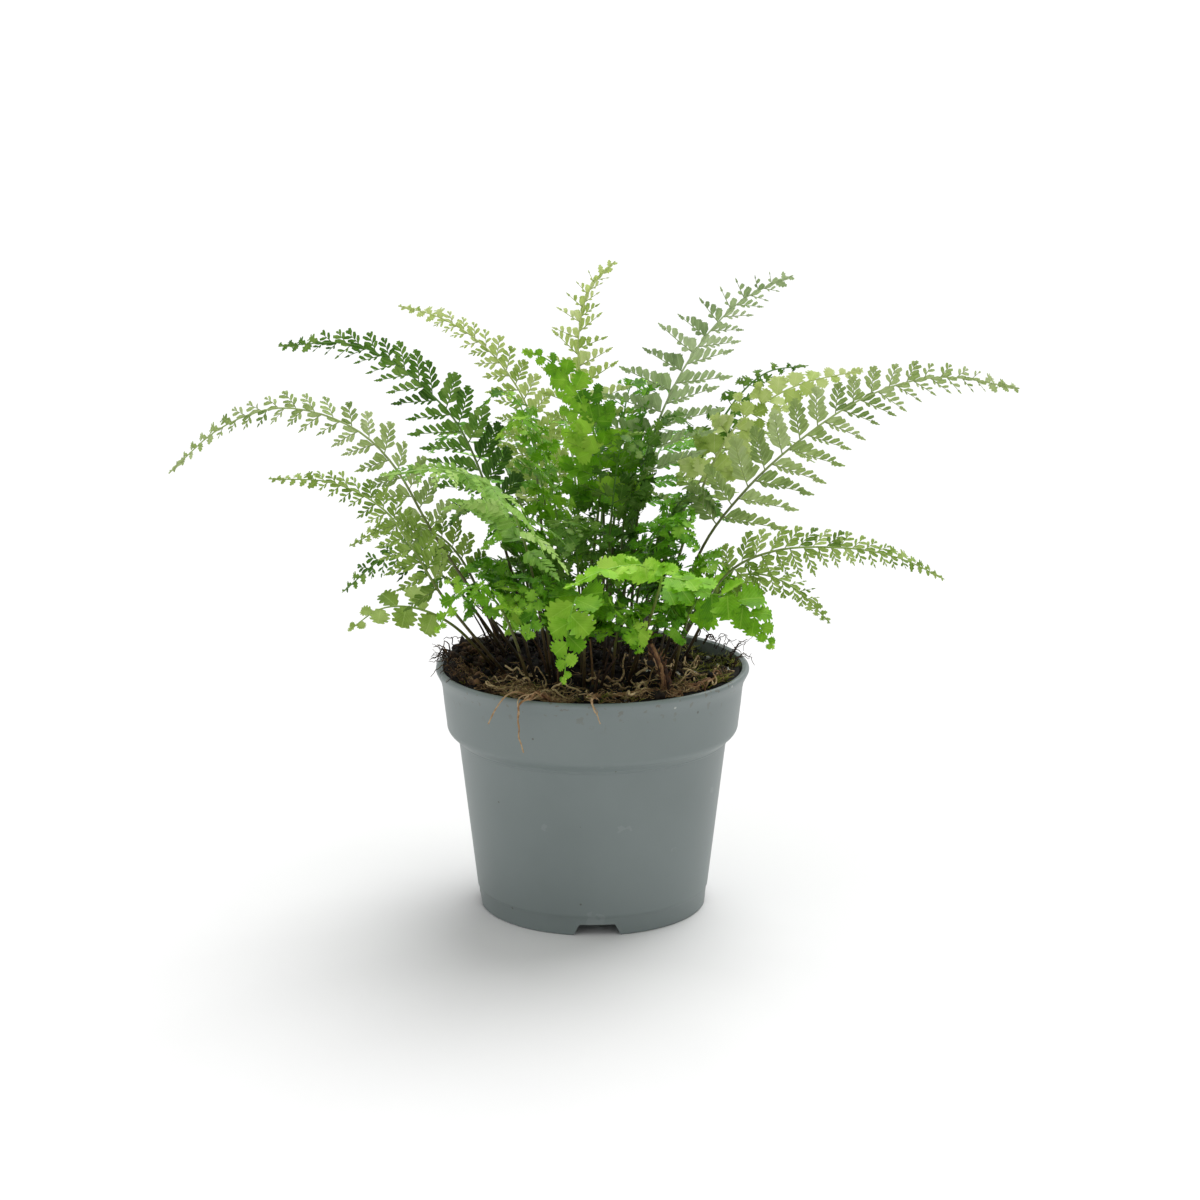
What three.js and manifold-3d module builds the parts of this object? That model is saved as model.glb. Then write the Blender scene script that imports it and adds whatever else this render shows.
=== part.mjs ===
// Potted mother fern: a grey nursery pot, its compost, the rootstock with its surface roots, the fronds.
// Millimetres, Z up. The origin is on the pot's axis, in the plane that the pot stands on.
import * as THREE from 'three';
import { mergeVertices } from 'three/addons/utils/BufferGeometryUtils.js';
import Module from 'manifold-3d';

const wasm = await Module();
wasm.setup();

// Driving dimensions of the pot
const ROUND_STEPS = 28;
const POT_HEIGHT = 94.5;
const LIP = { radius: 60, depth: 3, rounding: 0.5, width: 1.6 };
const BASE_RADIUS = 43.8;
const FOOT = { width: 2.4, draft: 0.4, step: 0.6, height: 7.6 };
const FLOOR_UNDERSIDE = 4.7;
const FLOOR_TOP = 6.1;
const WALL = 1.3;
const INNER_FLOOR_RADIUS = 43.1;
const BODY_TOP = { radius: 51.5, height: 66.2 };
const COLLAR_BOTTOM = { radius: 56, height: 72 };
const COLLAR_TOP = { radius: 57.9, height: 90.8 };
const SHOULDER = { inset: 1.4, drop: 3.2 };
const NOTCH = { count: 4, width: 17, height: 4.3, corner: 1.4, cutDepth: 10 };
const DRAIN_HOLE = { radius: 4.5, distance: 31, sides: 8 };
const CUTTER_SPARE = 1;

// Driving dimensions of the compost
const GAP = 0.3;
const SOIL_EDGE_DEPTH = 4;
const SOIL_RINGS = [0.3, 0.55, 0.76, 0.91, 1];
const HOLE_DEPTH = 8;
const SOIL_MOUNDS = [
  { x: 0, y: 0, rise: 7, spread: 34 },
  { x: -36, y: 16, rise: 7, spread: 17 },
  { x: 30, y: -22, rise: 3, spread: 15 },
  { x: 44, y: 26, rise: -4, spread: 16 },
];
const SOIL_RIPPLE = { rise: 0.7, acrossX: 3.2, acrossY: 3.7 };

// Driving dimensions of the fronds
const STALK_HALF_WIDTH = 0.65;
const STALK_HALF_THICKNESS = 0.6;
const TAIL_HALF_WIDTH = 0.36;
const BLADE_HALF_THICKNESS = 0.31;
const STALK_STEPS = 3;
const STALK_LIFT = 1.8;
const RIB_SHARE = 0.85;
const LEAFLET_BASE = { atTip: 0.95, atFoot: 1.9 };
const LEAFLET_FORWARD = [16, 50];
const LEAFLET_JITTER = { length: 0.2, lift: 16, sweep: 8 };
const LEAFLET_DROOP = [0.08, 0.22];
const FROND_OUTLINE = { foot: 0.8, swellBy: 0.2, power: 0.95, least: 0.06 };
const PAIR_SPACING = [1.35, 0.55];
const LOBED_LENGTHS = { most: 22, more: 16, some: 10.5, few: 6.5 };
const BEND_LIFTS = [0, 14, -14, 28, -28, 42, -42, 56, -56];
const BEND_SHRINKS = [1, 0.82, 0.64, 0.46];
const CLEAR_MARGIN = 0.2;
const RIB_CLEARANCE = 1;
const CLEAR_CELL = 6;
const GOLDEN_ANGLE = 2.39996;
const AZIMUTH_JITTER = 0.3;
const ROOT_SPREAD = [0.7, 1.15];
const HIDDEN_LEAN = 0.4;
const STALK_CLEARANCE = 3.6;
const PATH_SAMPLES = 40;

const UP = new THREE.Vector3(0, 0, 1);

// How the two kinds of leaflet are cut: slender with deep cuts when grown, broad and wavy when young
const LEAFLET_KINDS = {
  fine: { widthShare: 0.42, cut: 0.6, lean: 0.06 },
  broad: { widthShare: 0.68, cut: 0.36, lean: 0.03 },
};
const LEAFLET_TAPER = 0.6;
const LEAFLET_EDGES = { above: 1.1, below: 0.85, crest: 0.45, spare: 0.5 };

// The fronds that stand out of the crown, each along a path of real positions from its root to its tip.
// faces is the way that the blade's upper side looks, and width is its longest leaflet.
const LONG_FRONDS = [
  {
    name: 'frond_far_left', root: [-27, -6], faces: [0, -0.8, 0.6],
    kind: 'fine', pairs: 8, width: 18, bladeFrom: 0.4,
    path: [
      [-57, -20, 146], [-71, -28, 174], [-84, -31, 189], [-101, -32, 197], [-118, -32, 198], [-137, -32, 190],
      [-155, -32, 174],
    ],
  },
  {
    name: 'frond_left_sage', root: [-33, -16], faces: [0, -0.8, 0.6],
    kind: 'fine', pairs: 7, width: 17, bladeFrom: 0.4,
    path: [[-54, -34, 127], [-66, -46, 151], [-76, -52, 166], [-93, -58, 176], [-115, -62, 178]],
  },
  {
    name: 'frond_dark_left', root: [-24, 14], faces: [-0.3, -0.9, 0.3],
    kind: 'fine', pairs: 7, width: 25, bladeFrom: 0.4,
    path: [[-39, 14, 155], [-50, 12, 183], [-62, 10, 198], [-76, 8, 210], [-93, 6, 217], [-118, 4, 216]],
  },
  {
    name: 'frond_pale_left', root: [-16, 26], faces: [0, -0.9, 0.5],
    kind: 'fine', pairs: 7, width: 20, bladeFrom: 0.46,
    path: [[-21, 34, 152], [-24, 37, 183], [-34, 40, 202], [-46, 42, 214], [-60, 44, 222], [-76, 46, 226]],
  },
  {
    name: 'frond_top_pale', root: [4, 16], faces: [0, -1, 0.1],
    kind: 'fine', pairs: 7, width: 23, bladeFrom: 0.5,
    path: [[4, 22, 154], [0, 25, 182], [-5, 28, 204], [-5, 30, 220], [-1, 32, 234], [9, 34, 245]],
  },
  {
    name: 'frond_top_green', root: [-4, 2], faces: [-0.2, -0.9, 0.5],
    kind: 'broad', pairs: 6, width: 18, bladeFrom: 0.46,
    path: [[3, -6, 167], [-1, -10, 190], [-9, -12, 206], [-17, -14, 214], [-26, -15, 217]],
  },
  {
    name: 'frond_upper_right', root: [14, 6], faces: [0, -1, 0.15],
    kind: 'fine', pairs: 8, width: 30, bladeFrom: 0.4,
    path: [[18, 8, 160], [25, 4, 188], [38, 2, 214], [55, 2, 233], [75, 2, 243]],
  },
  {
    name: 'frond_wiry_right', root: [18, 30], faces: [0, -0.9, 0.5],
    kind: 'fine', pairs: 5, width: 9, bladeFrom: 0.6,
    path: [[39, 52, 155], [53, 58, 182], [68, 62, 197], [86, 64, 200]],
  },
  {
    name: 'frond_pale_right', root: [23, 20], faces: [0, -0.8, 0.6],
    kind: 'broad', pairs: 6, width: 16, bladeFrom: 0.5,
    path: [[40, 30, 150], [53, 34, 177], [66, 36, 189], [82, 38, 197], [105, 38, 202]],
  },
  {
    name: 'frond_far_right', root: [27, 0], faces: [0, -0.95, 0.35],
    kind: 'fine', pairs: 9, width: 26, bladeFrom: 0.32,
    path: [[40, -6, 138], [56, -12, 163], [77, -16, 184], [102, -18, 201], [128, -20, 208], [157, -22, 204]],
  },
  {
    name: 'frond_low_right_long', root: [28, -18], faces: [0, -0.7, 0.7],
    kind: 'fine', pairs: 7, width: 16, bladeFrom: 0.4,
    path: [[47, -32, 134], [66, -40, 147], [91, -48, 150], [111, -52, 147], [127, -56, 140]],
  },
  {
    name: 'frond_low_right', root: [35, 8], faces: [0, -0.8, 0.6],
    kind: 'fine', pairs: 6, width: 16, bladeFrom: 0.36,
    path: [[50, 4, 123], [62, -2, 130], [76, -8, 126], [90, -12, 113]],
  },
  {
    name: 'frond_front_right', root: [30, -26], faces: [0, -0.8, 0.6],
    kind: 'broad', pairs: 5, width: 18, bladeFrom: 0.3,
    path: [[37, -42, 127], [48, -55, 134], [57, -62, 129], [65, -67, 117]],
  },
  {
    name: 'frond_mint_front', root: [-16, -24], faces: [0.3, -0.2, 1],
    kind: 'fine', pairs: 6, width: 27, bladeFrom: 0.42,
    path: [[-23, -46, 146], [-30, -70, 171], [-40, -92, 184], [-53, -108, 190], [-70, -120, 190]],
  },
  {
    name: 'frond_lime_front', root: [14, -26], faces: [0.2, 0.3, 1],
    kind: 'broad', pairs: 6, width: 21, bladeFrom: 0.42,
    path: [[23, -58, 133], [24, -84, 149], [17, -104, 156], [5, -120, 158], [-9, -131, 154]],
  },
  {
    name: 'frond_hanging_front', root: [-3, -33], faces: [0, 0.02, 1],
    kind: 'broad', pairs: 6, width: 17, bladeFrom: 0.24,
    path: [[-3, -43, 125], [-5, -55, 134], [-8, -68, 128], [-10, -75, 106]],
  },
  {
    name: 'frond_low_left_long', root: [-38, -7], faces: [0, -0.7, 0.7],
    kind: 'broad', pairs: 4, width: 11, bladeFrom: 0.5,
    path: [[-51, -22, 114], [-64, -34, 124], [-77, -42, 126], [-89, -48, 119]],
  },
  {
    name: 'frond_low_left', root: [-34, 3], faces: [0, -0.8, 0.6],
    kind: 'fine', pairs: 5, width: 14, bladeFrom: 0.45,
    path: [[-50, -4, 123], [-63, -9, 135], [-77, -13, 139], [-94, -17, 126]],
  },
  {
    name: 'frond_left_mid', root: [-36, 14], faces: [0, -0.8, 0.6],
    kind: 'fine', pairs: 5, width: 15, bladeFrom: 0.42,
    path: [[-50, 12, 132], [-63, 9, 145], [-77, 7, 147], [-93, 5, 139]],
  },
  {
    name: 'frond_front_left', root: [-23, -32], faces: [0, -0.2, 1],
    kind: 'broad', pairs: 5, width: 18, bladeFrom: 0.3,
    path: [[-31, -44, 122], [-39, -56, 136], [-47, -68, 138], [-55, -80, 126]],
  },
];

// The fronds that the crown hides, in tiers: reach outward from the root and height above the compost
const HIDDEN_TIERS = [
  {
    name: 'frond_back', count: 5, kind: 'fine', pairs: 5, width: 24, bladeFrom: 0.4,
    firstAzimuth: 0.95, azimuthStep: 0.31, rootRadius: 32,
    reach: [102, 112], rise: [74, 84], fall: 0.22,
  },
  {
    name: 'frond_high', count: 6, kind: 'broad', pairs: 4, width: 22, bladeFrom: 0.48,
    firstAzimuth: 0.3, azimuthStep: GOLDEN_ANGLE, rootRadius: 13,
    reach: [24, 38], rise: [88, 108], fall: 0.08,
  },
  {
    name: 'frond_middle', count: 7, kind: 'broad', pairs: 4, width: 23, bladeFrom: 0.4,
    firstAzimuth: 4.4, azimuthStep: GOLDEN_ANGLE, rootRadius: 20,
    reach: [32, 44], rise: [54, 76], fall: 0.16,
  },
  {
    name: 'frond_low_front', count: 6, kind: 'broad', pairs: 3, width: 22, bladeFrom: 0.3,
    firstAzimuth: 3.55, azimuthStep: 0.44, rootRadius: 30,
    reach: [26, 36], rise: [28, 44], fall: 0.42,
  },
  {
    name: 'frond_low_back', count: 4, kind: 'broad', pairs: 3, width: 20, bladeFrom: 0.3,
    firstAzimuth: 0.6, azimuthStep: 0.78, rootRadius: 34,
    reach: [28, 38], rise: [26, 40], fall: 0.35,
  },
];

// The rootstock's crown, and the roots that run from it over the compost; those with ends hang over the lip
const CROWN = { x: 28, y: -39, depth: 5, height: 20, radius: 2.9, lean: 7, sides: 6, steps: 5 };
const CROWN_GAP = 0.4;
const ROOT_LIFT = 0.9;
const ROOT_SIDES = 4;
const SURFACE_ROOTS = [
  {
    radius: 0.9, plan: [[28, -39], [20, -45], [6, -48], [-10, -50], [-21, -50]],
    ends: [[-26, -51.5, 97], [-31, -53.5, 96.6], [-34.5, -54, 92.5], [-38, -51.5, 85]],
  },
  {
    radius: 0.8, plan: [[-8, -50], [-14, -51]],
    ends: [[-19, -53.5, 97], [-23, -57, 97], [-26, -58.5, 93.5], [-27, -58, 85], [-25, -58.5, 76]],
  },
  {
    radius: 0.7, plan: [[8, -48], [3, -51]],
    ends: [[1, -55.5, 96.7], [0, -60, 96.6], [1, -62.5, 93], [3, -62.6, 88]],
  },
  { radius: 1.2, plan: [[28, -39], [38, -36], [45, -27], [49, -12]], ends: [] },
  { radius: 0.8, plan: [[28, -39], [32, -43], [25, -48]], ends: [] },
];

const POT_COLOUR = 0x7c8588;
const SOIL_COLOUR = 0x2a1c12;
const ROOT_COLOUR = 0x8a5a38;
const LEAF_COLOURS = { fine: 0x6f9c4a, broad: 0x5fa02a };
const ROUGHNESS = { pot: 0.55, soil: 0.95, rootstock: 0.8, frond: 0.6 };

function seededDraw(seed) {
  let state = seed;
  return () => {
    state = (state + 0x6d2b79f5) | 0;
    let mixed = Math.imul(state ^ (state >>> 15), 1 | state);
    mixed = (mixed + Math.imul(mixed ^ (mixed >>> 7), 61 | mixed)) ^ mixed;
    return ((mixed ^ (mixed >>> 14)) >>> 0) / 4294967296;
  };
}

function between(range, share) {
  return range[0] + (range[1] - range[0]) * share;
}

// Joining and cutting
function toSolid(geometry) {
  const bare = geometry.clone();
  bare.deleteAttribute('normal');
  bare.deleteAttribute('uv');
  const merged = mergeVertices(bare, 1e-4);
  return new wasm.Manifold(new wasm.Mesh({
    numProp: 3,
    vertProperties: new Float32Array(merged.attributes.position.array),
    triVerts: new Uint32Array(merged.index.array),
  }));
}

function toGeometry(solid) {
  const mesh = solid.getMesh();
  const geometry = new THREE.BufferGeometry();
  geometry.setAttribute('position', new THREE.BufferAttribute(new Float32Array(mesh.vertProperties), 3));
  geometry.setIndex(new THREE.BufferAttribute(new Uint32Array(mesh.triVerts), 1));
  return geometry;
}

// The lathe's profile is given as radius and height, and its seam is turned to lie between two notches
function turned(profile) {
  const points = profile.map(([radius, height]) => new THREE.Vector2(radius, height));
  const geometry = new THREE.LatheGeometry(points, ROUND_STEPS);
  geometry.rotateX(Math.PI / 2);
  return geometry;
}

// The pot
function potInnerRadius(height) {
  const bodyShare = (height - FLOOR_TOP) / (BODY_TOP.height - FLOOR_TOP);
  const collarShare = (height - COLLAR_BOTTOM.height) / (COLLAR_TOP.height - COLLAR_BOTTOM.height);
  if (bodyShare < 1) {
    return between([INNER_FLOOR_RADIUS, BODY_TOP.radius - WALL], bodyShare);
  }
  return between([COLLAR_BOTTOM.radius - WALL, COLLAR_TOP.radius - WALL], collarShare);
}

function notchCutter() {
  const half = NOTCH.width / 2;
  const outline = new THREE.Shape();
  outline.moveTo(-half, -CUTTER_SPARE);
  outline.lineTo(half, -CUTTER_SPARE);
  outline.lineTo(half, NOTCH.height - NOTCH.corner);
  outline.lineTo(half - NOTCH.corner, NOTCH.height);
  outline.lineTo(-half + NOTCH.corner, NOTCH.height);
  outline.lineTo(-half, NOTCH.height - NOTCH.corner);
  outline.closePath();
  const depth = NOTCH.cutDepth;
  const cutter = new THREE.ExtrudeGeometry(outline, { depth, bevelEnabled: false });
  cutter.rotateX(Math.PI / 2);
  cutter.translate(0, depth / 2 - BASE_RADIUS, 0);
  return cutter;
}

function drainHole() {
  const { radius, distance, sides } = DRAIN_HOLE;
  const length = FLOOR_TOP - FLOOR_UNDERSIDE + 2 * CUTTER_SPARE;
  const hole = new THREE.CylinderGeometry(radius, radius, length, sides);
  hole.rotateX(Math.PI / 2);
  hole.translate(distance, 0, (FLOOR_UNDERSIDE + FLOOR_TOP) / 2);
  return hole;
}

function pot() {
  const footInner = BASE_RADIUS - FOOT.width;
  let solid = toSolid(turned([
    [0, FLOOR_UNDERSIDE],
    [footInner, FLOOR_UNDERSIDE],
    [footInner, 0],
    [BASE_RADIUS, 0],
    [BASE_RADIUS + FOOT.draft, FOOT.height - FOOT.draft],
    [BASE_RADIUS + FOOT.draft + FOOT.step, FOOT.height],
    [BODY_TOP.radius, BODY_TOP.height],
    [COLLAR_BOTTOM.radius - SHOULDER.inset, COLLAR_BOTTOM.height - SHOULDER.drop],
    [COLLAR_BOTTOM.radius, COLLAR_BOTTOM.height],
    [COLLAR_TOP.radius, COLLAR_TOP.height],
    [LIP.radius - LIP.rounding, POT_HEIGHT - LIP.depth],
    [LIP.radius, POT_HEIGHT - LIP.depth / 2],
    [LIP.radius - LIP.rounding, POT_HEIGHT - LIP.rounding],
    [LIP.radius - LIP.width, POT_HEIGHT],
    [LIP.radius - 2 * LIP.width, POT_HEIGHT - LIP.rounding],
    [potInnerRadius(COLLAR_TOP.height), COLLAR_TOP.height],
    [potInnerRadius(COLLAR_BOTTOM.height), COLLAR_BOTTOM.height],
    [BODY_TOP.radius - WALL, BODY_TOP.height],
    [INNER_FLOOR_RADIUS, FLOOR_TOP],
    [0, FLOOR_TOP],
  ]));
  for (let index = 0; index < NOTCH.count; index += 1) {
    const angle = (index * 2 * Math.PI) / NOTCH.count;
    solid = solid.subtract(toSolid(notchCutter().rotateZ(angle)));
    solid = solid.subtract(toSolid(drainHole().rotateZ(angle + Math.PI / NOTCH.count)));
  }
  return solid;
}

// The compost
function soilHeight(x, y) {
  let height = POT_HEIGHT - SOIL_EDGE_DEPTH;
  for (const mound of SOIL_MOUNDS) {
    const distance = Math.hypot(x - mound.x, y - mound.y) / mound.spread;
    height += mound.rise * Math.exp(-distance * distance);
  }
  const { rise, acrossX, acrossY } = SOIL_RIPPLE;
  return height + rise * Math.sin(x / acrossX + 1) * Math.sin(y / acrossY + 2);
}

function soilBlock() {
  const positions = [];
  const faces = [];
  const spoke = (radius, step) => {
    const angle = (step * 2 * Math.PI) / ROUND_STEPS;
    return [radius * Math.sin(angle), radius * Math.cos(angle)];
  };
  const addRing = (heightAt, radiusAt) => {
    const first = positions.length / 3;
    for (let step = 0; step < ROUND_STEPS; step += 1) {
      const [x, y] = spoke(radiusAt(step), step);
      positions.push(x, y, heightAt(x, y));
    }
    return first;
  };
  const join = (lower, upper) => {
    for (let step = 0; step < ROUND_STEPS; step += 1) {
      const next = (step + 1) % ROUND_STEPS;
      faces.push(lower + step, upper + step, upper + next);
      faces.push(lower + step, upper + next, lower + next);
    }
  };
  const edgeRadius = (step) => {
    const [x, y] = spoke(potInnerRadius(POT_HEIGHT - SOIL_EDGE_DEPTH), step);
    return potInnerRadius(soilHeight(x, y)) - GAP;
  };
  const wallHeights = [FLOOR_TOP + GAP, BODY_TOP.height, COLLAR_BOTTOM.height + GAP];
  const wallRadii = [
    potInnerRadius(FLOOR_TOP + GAP) - GAP, BODY_TOP.radius - WALL - GAP, COLLAR_BOTTOM.radius - WALL - GAP,
  ];
  positions.push(0, 0, wallHeights[0]);
  const rings = wallHeights.map((height, index) => addRing(() => height, () => wallRadii[index]));
  for (const share of [...SOIL_RINGS].reverse()) {
    rings.push(addRing(soilHeight, (step) => edgeRadius(step) * share));
  }
  const centre = positions.length / 3;
  positions.push(0, 0, soilHeight(0, 0));
  const last = rings[rings.length - 1];
  for (let step = 0; step < ROUND_STEPS; step += 1) {
    const next = (step + 1) % ROUND_STEPS;
    faces.push(0, rings[0] + step, rings[0] + next);
    faces.push(centre, last + next, last + step);
  }
  for (let index = 0; index + 1 < rings.length; index += 1) {
    join(rings[index], rings[index + 1]);
  }
  const geometry = new THREE.BufferGeometry();
  geometry.setAttribute('position', new THREE.Float32BufferAttribute(positions, 3));
  geometry.setIndex(faces);
  return toSolid(geometry);
}

// The rootstock: a stubby crown with roots lying over the compost
function tube(points, radius, sides, steps) {
  const section = new THREE.Shape();
  for (let side = 0; side < sides; side += 1) {
    const angle = (side * 2 * Math.PI) / sides;
    section.lineTo(radius * Math.cos(angle), radius * Math.sin(angle));
  }
  section.closePath();
  const path = new THREE.CatmullRomCurve3(points);
  return new THREE.ExtrudeGeometry(section, { steps, bevelEnabled: false, extrudePath: path });
}

function crown(spare) {
  const ground = soilHeight(CROWN.x, CROWN.y);
  return tube([
    new THREE.Vector3(CROWN.x, CROWN.y, ground - CROWN.depth),
    new THREE.Vector3(CROWN.x, CROWN.y, ground),
    new THREE.Vector3(CROWN.x - CROWN.lean / 3, CROWN.y, ground + CROWN.height / 2),
    new THREE.Vector3(CROWN.x - CROWN.lean, CROWN.y - 1, ground + CROWN.height),
  ], CROWN.radius + spare, CROWN.sides, CROWN.steps);
}

function rootstock() {
  let solid = toSolid(crown(0));
  for (const root of SURFACE_ROOTS) {
    const lift = root.radius + ROOT_LIFT;
    const laid = root.plan.map(([x, y]) => new THREE.Vector3(x, y, soilHeight(x, y) + lift));
    const hung = root.ends.map((point) => new THREE.Vector3(...point));
    const points = [...laid, ...hung];
    solid = solid.add(toSolid(tube(points, root.radius, ROOT_SIDES, 2 * (points.length - 1))));
  }
  return solid;
}

// A sheet is a flat patch of joined triangles, each of its points with a normal and half a thickness
class Sheet {
  constructor() {
    this.points = [];
    this.normals = [];
    this.halves = [];
    this.faces = [];
  }

  add(point, normal, half) {
    this.points.push(point);
    this.normals.push(normal);
    this.halves.push(half);
    return this.points.length - 1;
  }

  // The closed shell of some of the sheet's faces: both sides and a wall along every free edge
  shell(faces, margin) {
    const corner = (index, side) => this.points[index].clone()
      .addScaledVector(this.normals[index], side * (this.halves[index] + margin));
    const edges = new Map();
    const triangles = [];
    for (const [a, b, c] of faces) {
      triangles.push([corner(a, 1), corner(b, 1), corner(c, 1)]);
      triangles.push([corner(a, -1), corner(c, -1), corner(b, -1)]);
      for (const [from, to] of [[a, b], [b, c], [c, a]]) {
        edges.set(`${from} ${to}`, [from, to]);
      }
    }
    for (const [from, to] of edges.values()) {
      if (!edges.has(`${to} ${from}`)) {
        triangles.push([corner(from, -1), corner(to, -1), corner(to, 1)]);
        triangles.push([corner(from, -1), corner(to, 1), corner(from, 1)]);
      }
    }
    return triangles;
  }
}

function triangleGeometry(triangles) {
  const positions = triangles.flat().flatMap((corner) => [corner.x, corner.y, corner.z]);
  const geometry = new THREE.BufferGeometry();
  geometry.setAttribute('position', new THREE.Float32BufferAttribute(positions, 3));
  return mergeVertices(geometry, 1e-4);
}

// The clear space: every triangle placed so far, kept in a grid of cells
class ClearSpace {
  constructor(cellSize) {
    this.cellSize = cellSize;
    this.cells = new Map();
    this.ray = new THREE.Ray();
    this.hit = new THREE.Vector3();
  }

  cellsOf(triangle) {
    const box = new THREE.Box3().setFromPoints(triangle);
    const keys = [];
    const low = box.min.divideScalar(this.cellSize).floor();
    const high = box.max.divideScalar(this.cellSize).floor();
    for (let x = low.x; x <= high.x; x += 1) {
      for (let y = low.y; y <= high.y; y += 1) {
        for (let z = low.z; z <= high.z; z += 1) {
          keys.push(`${x} ${y} ${z}`);
        }
      }
    }
    return keys;
  }

  add(triangles, owner) {
    for (const triangle of triangles) {
      for (const key of this.cellsOf(triangle)) {
        if (!this.cells.has(key)) {
          this.cells.set(key, []);
        }
        this.cells.get(key).push({ triangle, owner });
      }
    }
  }

  edgeHits(from, to, triangle) {
    this.ray.origin.copy(from);
    this.ray.direction.copy(to).sub(from);
    const length = this.ray.direction.length();
    this.ray.direction.divideScalar(length);
    const hit = this.ray.intersectTriangle(triangle[0], triangle[1], triangle[2], false, this.hit);
    return hit !== null && hit.distanceTo(from) <= length;
  }

  crosses(triangles, allowed) {
    for (const triangle of triangles) {
      for (const key of this.cellsOf(triangle)) {
        for (const other of this.cells.get(key) ?? []) {
          if (allowed.includes(other.owner)) {
            continue;
          }
          for (let side = 0; side < 3; side += 1) {
            const next = (side + 1) % 3;
            if (this.edgeHits(triangle[side], triangle[next], other.triangle)
              || this.edgeHits(other.triangle[side], other.triangle[next], triangle)) {
              return true;
            }
          }
        }
      }
    }
    return false;
  }
}

// The frond's stalk and rib: a narrow strip along the path, rolled so that the blade faces as stated
function frameAt(frond, share) {
  const tangent = frond.curve.getTangentAt(share);
  const normal = frond.facing.clone().addScaledVector(tangent, -frond.facing.dot(tangent)).normalize();
  const across = tangent.clone().cross(normal);
  return { tangent, across, normal };
}

// At its foot the stalk stands upright, so that it fills its hole evenly
function footFrame(frond) {
  const normal = frameAt(frond, 0).normal.setZ(0).normalize();
  return { across: UP.clone().cross(normal), normal };
}

function leafletLength(frond, share) {
  const { foot, swellBy, power, least } = FROND_OUTLINE;
  const swell = between([foot, 1], Math.min(1, share / swellBy));
  return frond.width * (swell * (1 - share) ** power + least);
}

function pairShares(pairs) {
  const shares = [];
  let total = 0;
  for (let pair = 0; pair <= pairs; pair += 1) {
    shares.push(total);
    total += between(PAIR_SPACING, pair / pairs);
  }
  return shares.map((share) => share / total);
}

function stalkStrip(frond) {
  const sheet = new Sheet();
  const stations = [];
  const addStation = (share, halfWidth, half, frame, sink) => {
    const { across, normal } = frame;
    const centre = frond.curve.getPointAt(share);
    centre.z -= sink;
    const left = sheet.add(centre.clone().addScaledVector(across, -halfWidth), normal, half);
    const right = sheet.add(centre.clone().addScaledVector(across, halfWidth), normal, half);
    if (stations.length > 0) {
      const before = stations[stations.length - 1];
      sheet.faces.push([before.left, before.right, right], [before.left, right, left]);
    }
    stations.push({ left, right, share });
  };
  const rootDepth = HOLE_DEPTH + STALK_LIFT - GAP;
  for (const sink of [rootDepth, 0]) {
    addStation(0, STALK_HALF_WIDTH, STALK_HALF_THICKNESS, footFrame(frond), sink);
  }
  for (let step = 1; step < STALK_STEPS; step += 1) {
    const share = (frond.bladeFrom * step) / STALK_STEPS;
    addStation(share, STALK_HALF_WIDTH, STALK_HALF_THICKNESS, frameAt(frond, share), 0);
  }
  const bladeLength = frond.curve.getLength() * (1 - frond.bladeFrom);
  for (const share of pairShares(frond.pairs)) {
    const thinning = 1 - share;
    const halfWidth = between([TAIL_HALF_WIDTH, STALK_HALF_WIDTH * RIB_SHARE], thinning);
    const half = between([BLADE_HALF_THICKNESS, STALK_HALF_THICKNESS * RIB_SHARE], thinning);
    const base = between([LEAFLET_BASE.atTip, LEAFLET_BASE.atFoot], thinning) / bladeLength;
    for (const end of [share, share + base]) {
      const along = frond.bladeFrom + end * (1 - frond.bladeFrom);
      addStation(along, halfWidth, half, frameAt(frond, along), 0);
    }
  }
  const last = stations[stations.length - 1];
  const { normal } = frameAt(frond, 1);
  const tip = sheet.add(frond.curve.getPointAt(1), normal, BLADE_HALF_THICKNESS);
  sheet.faces.push([last.left, last.right, tip]);
  return { sheet, stations };
}

// A leaflet's outline, from its upper base corner round its tip to its lower one; x runs along it
function leafletOutline(length, base, kind, lobesAbove, lobesBelow) {
  const { widthShare, cut, lean } = LEAFLET_KINDS[kind];
  const { above, below, crest, spare } = LEAFLET_EDGES;
  const halfWidth = (share) => length * (widthShare / 2) * (1 - share) ** LEAFLET_TAPER;
  const lobedEdge = (lobes, scale) => {
    const edge = [];
    for (let lobe = 0; lobe < lobes; lobe += 1) {
      const share = (lobe + crest) / (lobes + spare);
      edge.push(new THREE.Vector2((share + lean) * length, scale * halfWidth(share)));
      if (lobe + 1 < lobes) {
        const notch = (lobe + 1) / (lobes + spare);
        edge.push(new THREE.Vector2(notch * length, scale * (1 - cut) * halfWidth(notch)));
      }
    }
    return edge;
  };
  return [
    new THREE.Vector2(0, base / 2),
    ...lobedEdge(lobesAbove, above),
    new THREE.Vector2(length, 0),
    ...lobedEdge(lobesBelow, -below).reverse(),
    new THREE.Vector2(0, -base / 2),
  ];
}

function lobeCounts(frond, length) {
  if (length > LOBED_LENGTHS.most && frond.kind === 'fine') {
    return [3, 2];
  }
  if (length > LOBED_LENGTHS.more && frond.kind === 'fine') {
    return [2, 2];
  }
  if (length > LOBED_LENGTHS.some) {
    return [2, 1];
  }
  return length > LOBED_LENGTHS.few ? [1, 1] : [0, 0];
}

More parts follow.
